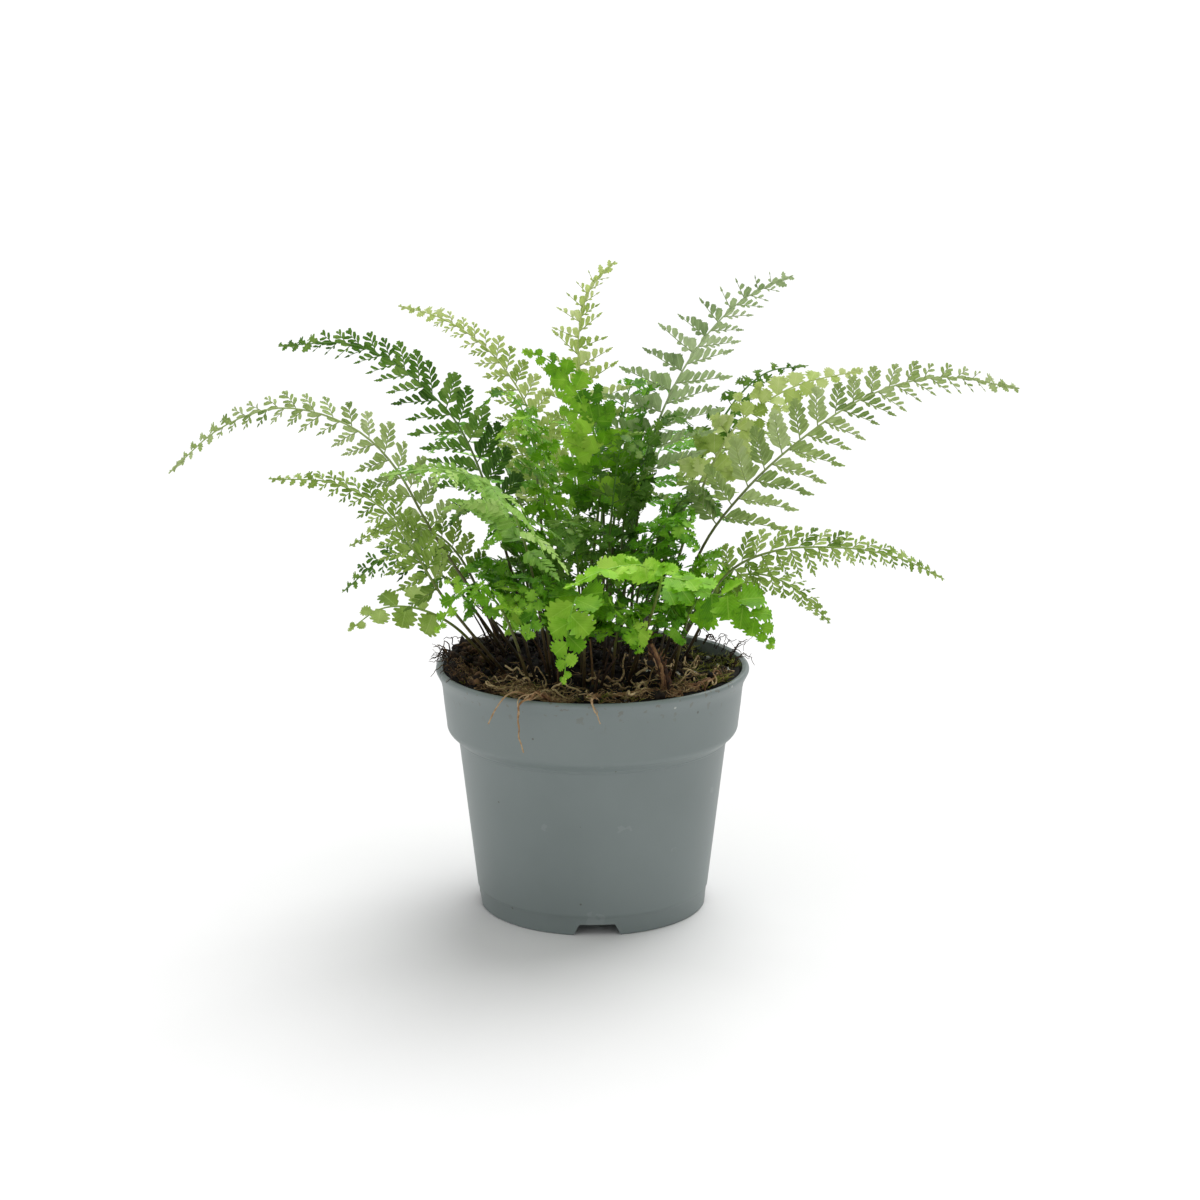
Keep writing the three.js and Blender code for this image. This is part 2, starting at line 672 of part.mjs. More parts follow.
// Adds one leaflet to the sheet between two points of the rib, bent as asked, and returns its faces
function addLeaflet(sheet, frond, station, next, side, length, bend) {
  const frame = frameAt(frond, (station.share + next.share) / 2);
  const lower = side < 0 ? station.left : station.right;
  const upper = side < 0 ? next.left : next.right;
  const origin = sheet.points[lower].clone().add(sheet.points[upper]).multiplyScalar(0.5);
  const base = sheet.points[lower].distanceTo(sheet.points[upper]);
  const outward = frame.across.clone().multiplyScalar(side);
  outward.applyAxisAngle(frame.tangent, -side * bend.lift);
  const forward = THREE.MathUtils.degToRad(between(LEAFLET_FORWARD, station.share) + bend.sweep);
  const along = outward.multiplyScalar(Math.cos(forward)).addScaledVector(frame.tangent, Math.sin(forward));
  const upward = frame.tangent.clone().addScaledVector(along, -frame.tangent.dot(along)).normalize();
  const normal = along.clone().cross(upward).multiplyScalar(side);
  const [lobesAbove, lobesBelow] = lobeCounts(frond, length);
  const outline = leafletOutline(length, base, frond.kind, lobesAbove, lobesBelow);
  const indices = outline.map((spot, index) => {
    if (index === 0) {
      return upper;
    }
    if (index === outline.length - 1) {
      return lower;
    }
    const sag = (bend.droop * spot.x * spot.x) / length;
    const free = (spot.x * Math.cos(forward) - RIB_CLEARANCE) / Math.sin(forward);
    const aside = Math.min(spot.y, Math.max(0, free));
    const point = origin.clone().addScaledVector(along, spot.x).addScaledVector(upward, aside)
      .addScaledVector(normal, -sag);
    const tilted = normal.clone().addScaledVector(along, (2 * bend.droop * spot.x) / length).normalize();
    return sheet.add(point, tilted, BLADE_HALF_THICKNESS);
  });
  const patch = THREE.ShapeUtils.triangulateShape(outline, []);
  return patch.map(([a, b, c]) => {
    const ab = outline[b].clone().sub(outline[a]);
    const ac = outline[c].clone().sub(outline[a]);
    const turnsLeft = ab.cross(ac) > 0;
    const ordered = turnsLeft === (side > 0) ? [a, b, c] : [a, c, b];
    return ordered.map((corner) => indices[corner]);
  });
}

function bendsToTry(draw) {
  const lift = (draw() - 0.5) * LEAFLET_JITTER.lift;
  const droop = between(LEAFLET_DROOP, draw());
  const sweep = (draw() - 0.5) * LEAFLET_JITTER.sweep;
  const bends = [];
  for (const shrink of BEND_SHRINKS) {
    for (const extra of BEND_LIFTS) {
      bends.push({ lift: THREE.MathUtils.degToRad(lift + extra), droop, sweep, shrink });
    }
  }
  return bends;
}

function ribName(frond, segment) {
  return `${frond.name} rib ${segment}`;
}

// Each segment of a rib is known by name, so that a leaflet may meet the ones it grows from and no other
function addRib(frond, space) {
  for (let segment = 0; segment + 1 < frond.stations.length; segment += 1) {
    const faces = frond.sheet.faces.slice(2 * segment, 2 * segment + 2);
    space.add(frond.sheet.shell(faces, 0), ribName(frond, segment));
  }
}

function growLeaflets(frond, space) {
  const { sheet, stations } = frond;
  const draw = seededDraw(frond.seed + 500);
  const firstPair = STALK_STEPS + 1;
  for (let index = firstPair; index + 1 < stations.length; index += 2) {
    const station = stations[index];
    const next = stations[index + 1];
    const share = (station.share - frond.bladeFrom) / (1 - frond.bladeFrom);
    const joined = [index - 1, index, index + 1].map((segment) => ribName(frond, segment));
    for (const side of [-1, 1]) {
      const length = leafletLength(frond, share) * (1 + LEAFLET_JITTER.length * (draw() - 0.5));
      for (const bend of bendsToTry(draw)) {
        const kept = sheet.points.length;
        const faces = addLeaflet(sheet, frond, station, next, side, length * bend.shrink, bend);
        const tested = sheet.shell(faces, CLEAR_MARGIN);
        if (!space.crosses(tested, joined)) {
          sheet.faces.push(...faces);
          space.add(sheet.shell(faces, 0), frond.name);
          break;
        }
        sheet.points.length = kept;
        sheet.normals.length = kept;
        sheet.halves.length = kept;
      }
    }
  }
}

// The paths of the fronds
function shownPath(spec) {
  const [x, y] = spec.root;
  const start = new THREE.Vector3(x, y, 0);
  return [start, ...spec.path.map((point) => new THREE.Vector3(...point))];
}

function hiddenPath(tier, index, draw) {
  const azimuth = tier.firstAzimuth + index * tier.azimuthStep + (draw() - 0.5) * AZIMUTH_JITTER;
  const outward = new THREE.Vector3(Math.cos(azimuth), Math.sin(azimuth), 0);
  const rootRadius = tier.rootRadius * between(ROOT_SPREAD, draw());
  const start = outward.clone().multiplyScalar(rootRadius);
  const reach = between(tier.reach, draw());
  const rise = between(tier.rise, draw());
  const ground = soilHeight(start.x, start.y);
  const at = (reachShare, riseShare) => start.clone().addScaledVector(outward, reach * reachShare)
    .setZ(ground + rise * riseShare);
  return [start, at(0.16, 0.55), at(0.42, 0.92), at(0.7, 1), at(1, 1 - tier.fall)];
}

function planFrond(spec, points, seed) {
  const [start] = points;
  const tip = points[points.length - 1];
  start.z = soilHeight(start.x, start.y) + STALK_LIFT;
  const outward = tip.clone().sub(start).setZ(0).normalize();
  const upward = UP.clone().addScaledVector(outward, -HIDDEN_LEAN);
  const facing = spec.faces ? new THREE.Vector3(...spec.faces) : upward;
  const curve = new THREE.CatmullRomCurve3(points, false, 'catmullrom', 0.5);
  return { ...spec, curve, facing, seed, spots: curve.getSpacedPoints(PATH_SAMPLES) };
}

function standsClear(plan, others) {
  return others.every((other) => other.spots.every(
    (spot) => plan.spots.every((near) => near.distanceTo(spot) > STALK_CLEARANCE),
  ));
}

function planAll() {
  const plans = LONG_FRONDS.map((spec, index) => planFrond(spec, shownPath(spec), index));
  for (const tier of HIDDEN_TIERS) {
    for (let index = 0; index < tier.count; index += 1) {
      const seed = plans.length;
      const draw = seededDraw(seed * 7919);
      const spec = { ...tier, name: `${tier.name}_${index + 1}` };
      let plan = planFrond(spec, hiddenPath(tier, index, draw), seed);
      while (!standsClear(plan, plans)) {
        plan = planFrond(spec, hiddenPath(tier, index, draw), seed);
      }
      plans.push(plan);
    }
  }
  return plans;
}

function stalkHole(frond) {
  const width = 2 * (STALK_HALF_WIDTH + GAP);
  const depth = 2 * (STALK_HALF_THICKNESS + GAP);
  const hole = new THREE.BoxGeometry(width, depth, 2 * HOLE_DEPTH);
  const [start] = frond.curve.points;
  const { across } = footFrame(frond);
  hole.rotateZ(Math.atan2(across.y, across.x));
  hole.translate(start.x, start.y, start.z - STALK_LIFT);
  return toSolid(hole);
}

// The plant in its pot
const group = new THREE.Group();

function place(name, geometry, colour, roughness) {
  const flat = geometry.index ? geometry.toNonIndexed() : geometry;
  flat.computeVertexNormals();
  const material = new THREE.MeshStandardMaterial({ color: colour, roughness, metalness: 0 });
  const mesh = new THREE.Mesh(flat, material);
  mesh.name = name;
  group.add(mesh);
}

function solidTriangles(geometry) {
  const flat = geometry.index ? geometry.toNonIndexed() : geometry;
  const { array } = flat.attributes.position;
  const triangles = [];
  for (let offset = 0; offset < array.length; offset += 9) {
    triangles.push([0, 3, 6].map((corner) => new THREE.Vector3().fromArray(array, offset + corner)));
  }
  return triangles;
}

const space = new ClearSpace(CLEAR_CELL);
const plans = planAll();
const potGeometry = toGeometry(pot());
const rootGeometry = toGeometry(rootstock());
const crownHole = crown(CROWN_GAP);
let soil = soilBlock().subtract(toSolid(crownHole));
soil = soil.subtract(toSolid(crownHole.translate(0, 0, -CROWN_GAP)));
for (const frond of plans) {
  soil = soil.subtract(stalkHole(frond));
}
const soilGeometry = toGeometry(soil);
place('pot', potGeometry, POT_COLOUR, ROUGHNESS.pot);
place('soil', soilGeometry, SOIL_COLOUR, ROUGHNESS.soil);
place('rootstock', rootGeometry, ROOT_COLOUR, ROUGHNESS.rootstock);
space.add(solidTriangles(potGeometry), 'pot');
space.add(solidTriangles(soilGeometry), 'soil');
space.add(solidTriangles(rootGeometry), 'rootstock');

for (const frond of plans) {
  Object.assign(frond, stalkStrip(frond));
  addRib(frond, space);
}
for (const frond of plans) {
  growLeaflets(frond, space);
  const blade = triangleGeometry(frond.sheet.shell(frond.sheet.faces, 0));
  place(frond.name, blade, LEAF_COLOURS[frond.kind], ROUGHNESS.frond);
}

export default group;
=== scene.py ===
"""Looks of the potted mother fern: finely cut fronds, roots, compost, moss and the grey nursery pot.

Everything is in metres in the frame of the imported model. Sizes in the tables are in millimetres.
"""

from math import cos, hypot, log, pi, radians, sin, sqrt

import bmesh
import bpy
import numpy as np
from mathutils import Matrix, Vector, noise


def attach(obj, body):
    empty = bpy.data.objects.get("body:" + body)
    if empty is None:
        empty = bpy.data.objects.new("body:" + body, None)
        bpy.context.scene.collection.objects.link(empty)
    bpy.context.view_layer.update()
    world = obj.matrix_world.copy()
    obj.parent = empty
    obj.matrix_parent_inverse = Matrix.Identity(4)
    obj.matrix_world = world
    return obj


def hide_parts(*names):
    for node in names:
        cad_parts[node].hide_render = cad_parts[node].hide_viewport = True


MM = 0.001
UP = np.array([0.0, 0.0, 1.0])


def named_rows(keys, rows):
    """Rows that start with a name, as a dictionary for each name under the same keys."""
    return {name: dict(zip(keys.split(), values)) for name, *values in rows}


# The pot, as radii and heights in millimetres
POT_HEIGHT = 94.5
LIP_RADIUS = 60.0
BASE_RADIUS = 43.8
WALL = 1.3
FLOOR_UNDERSIDE = 4.7
FLOOR_TOP = 6.1
INNER_FLOOR_RADIUS = 43.1
BODY_TOP = (51.5, 66.2)
COLLAR_BOTTOM = (56.0, 72.0)
COLLAR_TOP = (57.9, 90.8)
NOTCH_WIDTH = 17.6
NOTCH_HEIGHT = 4.5
NOTCH_CORNER = 1.2
NOTCH_SLOPE = 1.6
NOTCH_TURN = 2.4
DRAIN_HOLE_RADIUS = 4.5
DRAIN_HOLE_DISTANCE = 31.0
POT_STEPS = 160
LIP_ROUND = 1.25

# The compost's surface: x, y, rise and spread of each mound
SOIL_EDGE_DEPTH = 4.0
SOIL_MOUNDS = [(0, 0, 7, 34), (-36, 16, 7, 17), (30, -22, 3, 15), (44, 26, -4, 16)]
SOIL_RIPPLE = (0.7, 3.2, 3.7)
SOIL_GAP = 0.3
SOIL_STEPS = 150
SOIL_RINGS = 52
COMPOST_REACH = 53.5
ROOT_REACH = 54.5
RIM_HEAP = 2.6

# The fronds' shared dimensions
STALK_LIFT = 1.8
STALK_SINK = 5.0
STALK_RADIUS = 0.62
TAIL_RADIUS = 0.2
FOOT_SHARE = 0.8
SWELL_BY = 0.2
LENGTH_POWER = 0.95
LEAST_LENGTH = 0.06
PAIR_SPACING = (1.35, 0.55)
PINNA_FORWARD = (16, 42)
GOLDEN_ANGLE = 2.39996
AZIMUTH_JITTER = 0.3
ROOT_SPREAD = (0.7, 1.15)
HIDDEN_LEAN = 0.4
HIDDEN_TILT = (0.4, UP)
STALK_CLEARANCE = 3.6
PATH_SAMPLES = 40
BLADE_HALF_THICKNESS = 0.13
BLADE_RUFFLE = 0.12
BLADE_WIDTHS = (0.9, 1.15)
BLADE_CUPS = (0, 0.35)
BLADE_DROOPS = (0, 0.3)
RIB_RADII = (0.28, 0.1)
STALK_SIDES = 7
STALK_FLATNESS = 0.86
TIP_SHARE = 0.045
FROND_SEED = 60
HIDDEN_ARCH = ((0.16, 0.55), (0.42, 0.92), (0.7, 1))

# The fronds that stand out of the crown. Each row: name, root, the way that the blade faces, longest pinna, share
# of the path where the blade starts, pinnae on each side, style of the upper and lower pinnae, tone, path.
LONG_FRONDS = [
    ("frond_far_left", (-27, -6), (0, -0.8, 0.6), 18, 0.32, 20, ("fan", "slender"), "sage",
     [(-57, -20, 146), (-71, -28, 174), (-84, -31, 189), (-101, -32, 197), (-118, -32, 198), (-137, -32, 190),
      (-155, -32, 174)]),
    ("frond_left_sage", (-33, -16), (0, -0.8, 0.6), 17, 0.36, 17, ("fan", "slender"), "moss",
     [(-54, -34, 127), (-66, -46, 151), (-76, -52, 166), (-93, -58, 176), (-115, -62, 178)]),
    ("frond_dark_left", (-24, 14), (-0.3, -0.9, 0.3), 25, 0.3, 18, ("fan", "plume"), "deep",
     [(-39, 14, 155), (-50, 12, 183), (-62, 10, 198), (-76, 8, 210), (-93, 6, 217), (-118, 4, 216)]),
    ("frond_pale_left", (-16, 26), (0, -0.9, 0.5), 20, 0.34, 18, ("fan", "slender"), "pale",
     [(-21, 34, 152), (-24, 37, 183), (-34, 40, 202), (-46, 42, 214), (-60, 44, 222), (-76, 46, 226)]),
    ("frond_top_pale", (4, 16), (0, -1, 0.1), 23, 0.48, 13, ("feather", "plume"), "pale",
     [(4, 22, 154), (0, 25, 182), (-5, 28, 204), (-5, 30, 220), (-1, 32, 234), (9, 34, 245)]),
    ("frond_top_green", (-4, 2), (-0.2, -0.9, 0.5), 18, 0.44, 10, ("oak", "oak"), "bright",
     [(3, -6, 167), (-1, -10, 190), (-9, -12, 206), (-17, -14, 214), (-26, -15, 217)]),
    ("frond_upper_right", (14, 6), (0, -1, 0.15), 30, 0.38, 14, ("feather", "plume"), "grey",
     [(18, 8, 160), (25, 4, 188), (38, 2, 214), (55, 2, 233), (75, 2, 243)]),
    ("frond_wiry_right", (18, 30), (0, -0.9, 0.5), 9, 0.6, 8, ("cluster", "cluster"), "deep",
     [(39, 52, 155), (53, 58, 182), (68, 62, 197), (86, 64, 200)]),
    ("frond_pale_right", (23, 20), (0, -0.8, 0.6), 16, 0.46, 11, ("oak", "oak"), "pale",
     [(40, 30, 150), (53, 34, 177), (66, 36, 189), (82, 38, 197), (105, 38, 202)]),
    ("frond_far_right", (27, 0), (0, -0.95, 0.35), 26, 0.3, 19, ("palm", "plume"), "sage",
     [(40, -6, 138), (56, -12, 163), (77, -16, 184), (102, -18, 201), (128, -20, 208), (157, -22, 204)]),
    ("frond_low_right_long", (28, -18), (0, -0.7, 0.7), 16, 0.36, 19, ("fan", "slender"), "moss",
     [(47, -32, 134), (66, -40, 147), (91, -48, 150), (111, -52, 147), (127, -56, 140)]),
    ("frond_low_right", (35, 8), (0, -0.8, 0.6), 16, 0.34, 12, ("plume", "palm"), "moss",
     [(50, 4, 123), (62, -2, 130), (76, -8, 126), (90, -12, 113)]),
    ("frond_front_right", (30, -26), (0, -0.8, 0.6), 18, 0.3, 8, ("leaflet", "leaflet"), "bright",
     [(37, -42, 127), (48, -55, 134), (57, -62, 129), (65, -67, 117)]),
    ("frond_mint_front", (-16, -24), (0.3, -0.2, 1), 27, 0.36, 13, ("lacy", "lacy"), "mint",
     [(-23, -46, 146), (-30, -70, 171), (-40, -92, 184), (-53, -108, 190), (-70, -120, 190)]),
    ("frond_lime_front", (14, -26), (0.2, 0.3, 1), 21, 0.42, 9, ("oak", "oak"), "lime",
     [(23, -58, 133), (24, -84, 149), (17, -104, 156), (5, -120, 158), (-9, -131, 154)]),
    ("frond_hanging_front", (-3, -33), (0, 0.02, 1), 17, 0.24, 8, ("leaflet", "leaflet"), "bright",
     [(-3, -43, 125), (-5, -55, 134), (-8, -68, 128), (-10, -75, 106)]),
    ("frond_low_left_long", (-38, -7), (0, -0.7, 0.7), 11, 0.5, 4, ("leaflet", "leaflet"), "moss",
     [(-51, -22, 114), (-64, -34, 124), (-77, -42, 126), (-89, -48, 119)]),
    ("frond_low_left", (-34, 3), (0, -0.8, 0.6), 14, 0.45, 9, ("fan", "slender"), "deep",
     [(-50, -4, 123), (-63, -9, 135), (-77, -13, 139), (-94, -17, 126)]),
    ("frond_left_mid", (-36, 14), (0, -0.8, 0.6), 15, 0.3, 13, ("fan", "fan"), "moss",
     [(-50, 12, 132), (-63, 9, 145), (-77, 7, 147), (-93, 5, 139)]),
    ("frond_front_left", (-23, -32), (0, -0.2, 1), 18, 0.3, 7, ("parsley", "parsley"), "bright",
     [(-31, -44, 122), (-39, -56, 136), (-47, -68, 138), (-55, -80, 126)]),
]

# The fronds inside the crown, in tiers: how many, longest pinna, share of the path where the blade starts, pinnae
# on each side, styles, tones, first azimuth and the step to the next, the root's distance from the axis, reach
# outward from it, height above the compost, and the share of that height by which the tip falls
HIDDEN_TIERS = named_rows("count width blade_from pinnae styles tones azimuth root reach rise fall", [
    ("frond_back", 5, 24, 0.36, 13, ("feather", "palm"), ("moss", "green", "bright"),
     (0.95, 0.31), 32, (102, 112), (74, 84), 0.22),
    ("frond_high", 6, 22, 0.34, 11, ("parsley", "parsley"), ("green", "bright", "deep"),
     (0.3, GOLDEN_ANGLE), 13, (24, 38), (88, 108), 0.08),
    ("frond_middle", 7, 23, 0.26, 13, ("parsley", "parsley"), ("deep", "green"),
     (4.4, GOLDEN_ANGLE), 20, (32, 44), (54, 76), 0.16),
    ("frond_low_front", 6, 22, 0.24, 10, ("parsley", "parsley"), ("green", "bright"),
     (3.55, 0.44), 30, (26, 36), (28, 44), 0.42),
    ("frond_low_back", 4, 20, 0.26, 10, ("parsley", "parsley"), ("deep", "green"),
     (0.6, 0.78), 34, (28, 38), (26, 40), 0.35),
])

# How a pinna is cut. acro and basi hold, for the side towards the frond's tip and the other side, the angle of
# the pinnules off the rib, the length of the longest as a share of the pinna, and the share of the rib where they
# end. No pinna is longer than most, and one shorter than small_below is a single blade; 99 sets no limit.
PINNA_STYLES = named_rows("scale most step first acro basi taper blade end small small_below curl sag unrest", [
    ("feather", 1.0, 99, 3.0, 0.05, (52, 0.29, 0.84), (26, 0.16, 0.42), 0.55,
     "spoon", "saw", "comb", 4.5, 0.06, 0.04, 0.14),
    ("plume", 1.0, 99, 2.6, 0.05, (42, 0.31, 0.82), (24, 0.15, 0.5), 0.55,
     "finger", "saw", "comb", 4.5, 0.05, 0.06, 0.14),
    ("palm", 0.78, 99, 2.1, 0.12, (46, 0.31, 0.84), (42, 0.28, 0.84), 0.2,
     "finger", "trident", "fanleaf", 4.2, 0.12, 0.02, 0.16),
    ("fan", 0.78, 99, 1.9, 0.14, (52, 0.32, 0.84), (42, 0.27, 0.84), 0.15,
     "finger", "trident", "fanleaf", 4.2, 0.22, 0.0, 0.2),
    ("slender", 0.95, 99, 2.3, 0.08, (40, 0.28, 0.84), (34, 0.24, 0.8), 0.5,
     "finger", "saw", "comb", 4.5, 0.05, 0.1, 0.2),
    ("lacy", 1.2, 99, 2.5, 0.08, (42, 0.24, 0.86), (42, 0.22, 0.86), 0.6,
     "lobe", "saw", "comb", 5.0, 0.05, 0.3, 0.16),
    ("parsley", 1.0, 16, 3.7, 0.2, (56, 0.33, 0.78), (52, 0.3, 0.76), 0.3,
     "parsley", "parsley", "parsley", 6.5, 0.08, 0.1, 0.65),
    ("oak", 1.0, 99, 4.4, 0.12, (46, 0.42, 0.7), (46, 0.38, 0.7), 0.4,
     "oak", "oak", "oak", 8.0, 0.05, 0.06, 0.22),
    ("leaflet", 1.2, 10.5, 6.0, 0.2, (46, 0.4, 0.7), (46, 0.4, 0.7), 0.5,
     "oak", "oak", "oak", 99.0, 0.05, 0.05, 0.2),
    ("cluster", 1.0, 99, 2.6, 0.3, (48, 0.4, 0.8), (48, 0.34, 0.8), 0.2,
     "fanleaf", "fanleaf", "fanleaf", 4.0, 0.0, 0.1, 0.3),
])
LARGE_PINNA = 20

# Degrees that the upper and the lower pinnae lean further towards the frond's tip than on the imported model
FORWARD_TURNS = {
    "frond_upper_right": (-28, 14), "frond_top_pale": (-12, 16), "frond_far_right": (0, 8),
    "frond_dark_left": (10, 8), "frond_far_left": (4, 8), "frond_pale_left": (6, 6),
}

# How far a frond's leaves turn on their ribs towards a direction
LEAF_TILTS = {
    "frond_mint_front": (0.55, (0.1, -0.8, 0.5)), "frond_lime_front": (0.5, (0, -0.9, 0.5)),
    "frond_hanging_front": (0.4, (0, -0.9, 0.4)), "frond_front_left": (0.45, (0, -0.9, 0.5)),
}

# How a blade is cut: greatest half width and where, half width of the foot, how hollow its wedge is and how
# blunt its tip is, teeth on each side, where they start, their depth, and points on a tooth's crest.
BLADE_SHAPES = named_rows("half peak foot wedge tip teeth teeth_from depth crest", [
    ("spoon", 0.28, 0.66, 0.07, 1.2, 0.55, 2, 0.6, 0.15, 1),
    ("finger", 0.18, 0.66, 0.07, 1.0, 0.5, 1, 0.66, 0.12, 1),
    ("lobe", 0.23, 0.55, 0.14, 0.7, 0.5, 2, 0.6, 0.12, 1),
    ("fanleaf", 0.5, 0.66, 0.05, 1.5, 0.6, 2, 0.44, 0.6, 2),
    ("trident", 0.36, 0.62, 0.1, 1.2, 0.7, 2, 0.34, 0.38, 2),
    ("saw", 0.16, 0.2, 0.1, 0.7, 1.15, 5, 0.12, 0.36, 1),
    ("comb", 0.3, 0.36, 0.08, 0.9, 1.0, 4, 0.2, 0.4, 1),
    ("parsley", 0.42, 0.6, 0.05, 1.3, 0.7, 3, 0.28, 0.5, 2),
    ("oak", 0.46, 0.6, 0.06, 1.0, 0.7, 4, 0.24, 0.26, 2),
])
BLADE_VARIANTS = 4
SPINE = (0.22, 0.5, 0.78)
TEETH_UNTIL = 0.94
TOOTH_SWELL = -0.12
TOOTH_CRESTS = {1: (0.6,), 2: (0.38, 0.78)}
BROAD_STYLES = ("parsley", "oak", "leaflet")

# The veins of a leaf
MIDRIB_FADE = 34.0
VEIN_SLANT = 1.3
VEIN_RATE = 44.0

# Shadowed, plain and sunlit colour of each tone of leaf, and the light that comes through it
LEAF_TONES = {
    "sage": ((118, 150, 72), (174, 196, 118), (206, 220, 166), "frond_sage"),
    "grey": ((124, 152, 96), (178, 200, 142), (208, 222, 180), "frond_sage"),
    "moss": ((96, 134, 34), (152, 182, 80), (194, 214, 130), "frond_sage"),
    "deep": ((40, 88, 10), (92, 142, 40), (156, 188, 94), "frond_dark"),
    "green": ((36, 96, 4), (98, 166, 18), (176, 226, 80), "frond_dark"),
    "bright": ((58, 122, 6), (122, 184, 26), (186, 226, 82), "frond_bright"),
    "lime": ((84, 152, 10), (146, 208, 38), (200, 236, 102), "frond_bright"),
    "mint": ((98, 152, 46), (148, 196, 80), (196, 224, 132), "frond_pale"),
    "pale": ((158, 188, 78), (208, 226, 136), (226, 236, 176), "frond_pale"),
}

# The rootstock's crown and the roots that run from it over the compost, each with its radius, the spots on the
# compost that it passes, and the points of its end where it hangs over the lip
CROWN = {"x": 28, "y": -39, "depth": 5, "height": 20, "radius": 2.9, "lean": 7}
ROOT_LIFT = 0.9
SURFACE_ROOTS = [
    (0.9, [(28, -39), (20, -45), (6, -48), (-10, -50), (-21, -50)],
     [(-26, -51.5, 97), (-31, -53.5, 96.6), (-34.5, -54, 92.5), (-38, -51.5, 85)]),
    (0.8, [(-8, -50), (-14, -51)],
     [(-19, -53.5, 97), (-23, -57, 97), (-26, -58.5, 93.5), (-27, -58, 85), (-25, -58.5, 76)]),
    (0.7, [(8, -48), (3, -51)], [(1, -55.5, 96.7), (0, -60, 96.6), (1, -62.5, 93), (3, -62.6, 88)]),
    (1.2, [(28, -39), (38, -36), (45, -27), (49, -12)], []),
    (0.8, [(28, -39), (32, -43), (25, -48)], []),
]

# The materials of the compost and the roots: scale of the grain, roughness, depth of the relief in metres, and the
# colours from the darkest tone to the palest, each after its place among the tones
EARTHS = {
    "compost": (240, 0.95, 0.0008, [(0.1, 8, 6, 5), (0.45, 22, 16, 11), (0.8, 50, 37, 24), (1.0, 92, 70, 46)]),
    "crumb": (520, 0.9, 0.0005, [(0.05, 9, 7, 5), (0.45, 26, 19, 13), (0.8, 58, 42, 27), (1.0, 112, 84, 56)]),
    "perlite_grain": (900, 0.85, 0.0003, [(0.0, 104, 102, 96), (0.5, 158, 156, 150), (1.0, 206, 204, 198)]),
    "moss": (700, 0.7, 0.0001, [(0.0, 50, 48, 14), (0.4, 88, 92, 26), (0.7, 128, 130, 44), (1.0, 168, 164, 74)]),
    "root_bark": (600, 0.75, 0.0004, [
        (0.0, 46, 29, 20), (0.3, 98, 66, 42), (0.6, 146, 112, 76), (1.0, 202, 176, 138)]),
    "fibre": (900, 0.8, 0.0001, [
        (0.0, 28, 20, 14), (0.35, 74, 54, 32), (0.65, 136, 110, 72), (1.0, 210, 186, 142)]),
    "dry_stalk": (500, 0.8, 0.0002, [(0.0, 22, 15, 10), (0.5, 54, 38, 24), (1.0, 104, 80, 48)]),
}


def seeded_draw(seed):
    """The same small generator as the fronds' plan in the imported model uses."""
    whole = 0xFFFFFFFF
    state = seed & whole

    def draw():
        nonlocal state
        state = (state + 0x6D2B79F5) & whole
        mixed = (state ^ (state >> 15)) * (1 | state) & whole
        mixed = ((mixed + ((mixed ^ (mixed >> 7)) * (61 | mixed) & whole)) & whole) ^ mixed
        return (mixed ^ (mixed >> 14)) / 4294967296

    return draw


def between(ends, share):
    return ends[0] + (ends[1] - ends[0]) * share


def unit(vectors):
    return vectors / np.linalg.norm(vectors, axis=-1, keepdims=True)


def heading(angle, rise=0.0):
    return np.array([cos(angle), sin(angle), rise])


def srgb(red, green, blue):
    """A colour named by its 8-bit screen values, as the linear colour that a shader takes."""
    screen = np.array([red, green, blue]) / 255
    linear = np.where(screen <= 0.04045, screen / 12.92, ((screen + 0.055) / 1.055) ** 2.4)
    return (*[float(part) for part in linear], 1.0)


class Path:
    """A smooth curve through points, looked up by the share of its length."""

    SAMPLES = 200

    def __init__(self, points):
        points = np.array(points, float)
        before = 2 * points[0] - points[1]
        after = 2 * points[-1] - points[-2]
        self.points = np.vstack([before, points, after])
        self.spans = len(points) - 1
        grid = self.at(np.linspace(0, 1, self.SAMPLES + 1))
        steps = np.linalg.norm(np.diff(grid, axis=0), axis=1)
        self.lengths = np.concatenate([[0], np.cumsum(steps)])
        self.length = self.lengths[-1]

    def at(self, position):
        place = np.clip(np.asarray(position, float), 0, 1) * self.spans
        span = np.minimum(place.astype(int), self.spans - 1)
        t = (place - span)[..., None]
        p0, p1, p2, p3 = (self.points[span + step] for step in range(4))
        in_slope, out_slope = (p2 - p0) / 2, (p3 - p1) / 2
        square = -3 * p1 + 3 * p2 - 2 * in_slope - out_slope
        cube = 2 * p1 - 2 * p2 + in_slope + out_slope
        return p1 + in_slope * t + square * t**2 + cube * t**3

    def position(self, share):
        grid = np.linspace(0, 1, self.SAMPLES + 1)
        return np.interp(np.asarray(share) * self.length, self.lengths, grid)

    def point(self, share):
        return self.at(self.position(share))

    def tangent(self, share):
        place = self.position(share)
        return unit(self.at(np.minimum(place + 1e-4, 1)) - self.at(np.maximum(place - 1e-4, 0)))


def placed(name, data):
    """A new object of a mesh, a camera or a light, in the scene."""
    item = bpy.data.objects.new(name, data)
    bpy.context.scene.collection.objects.link(item)
    return item


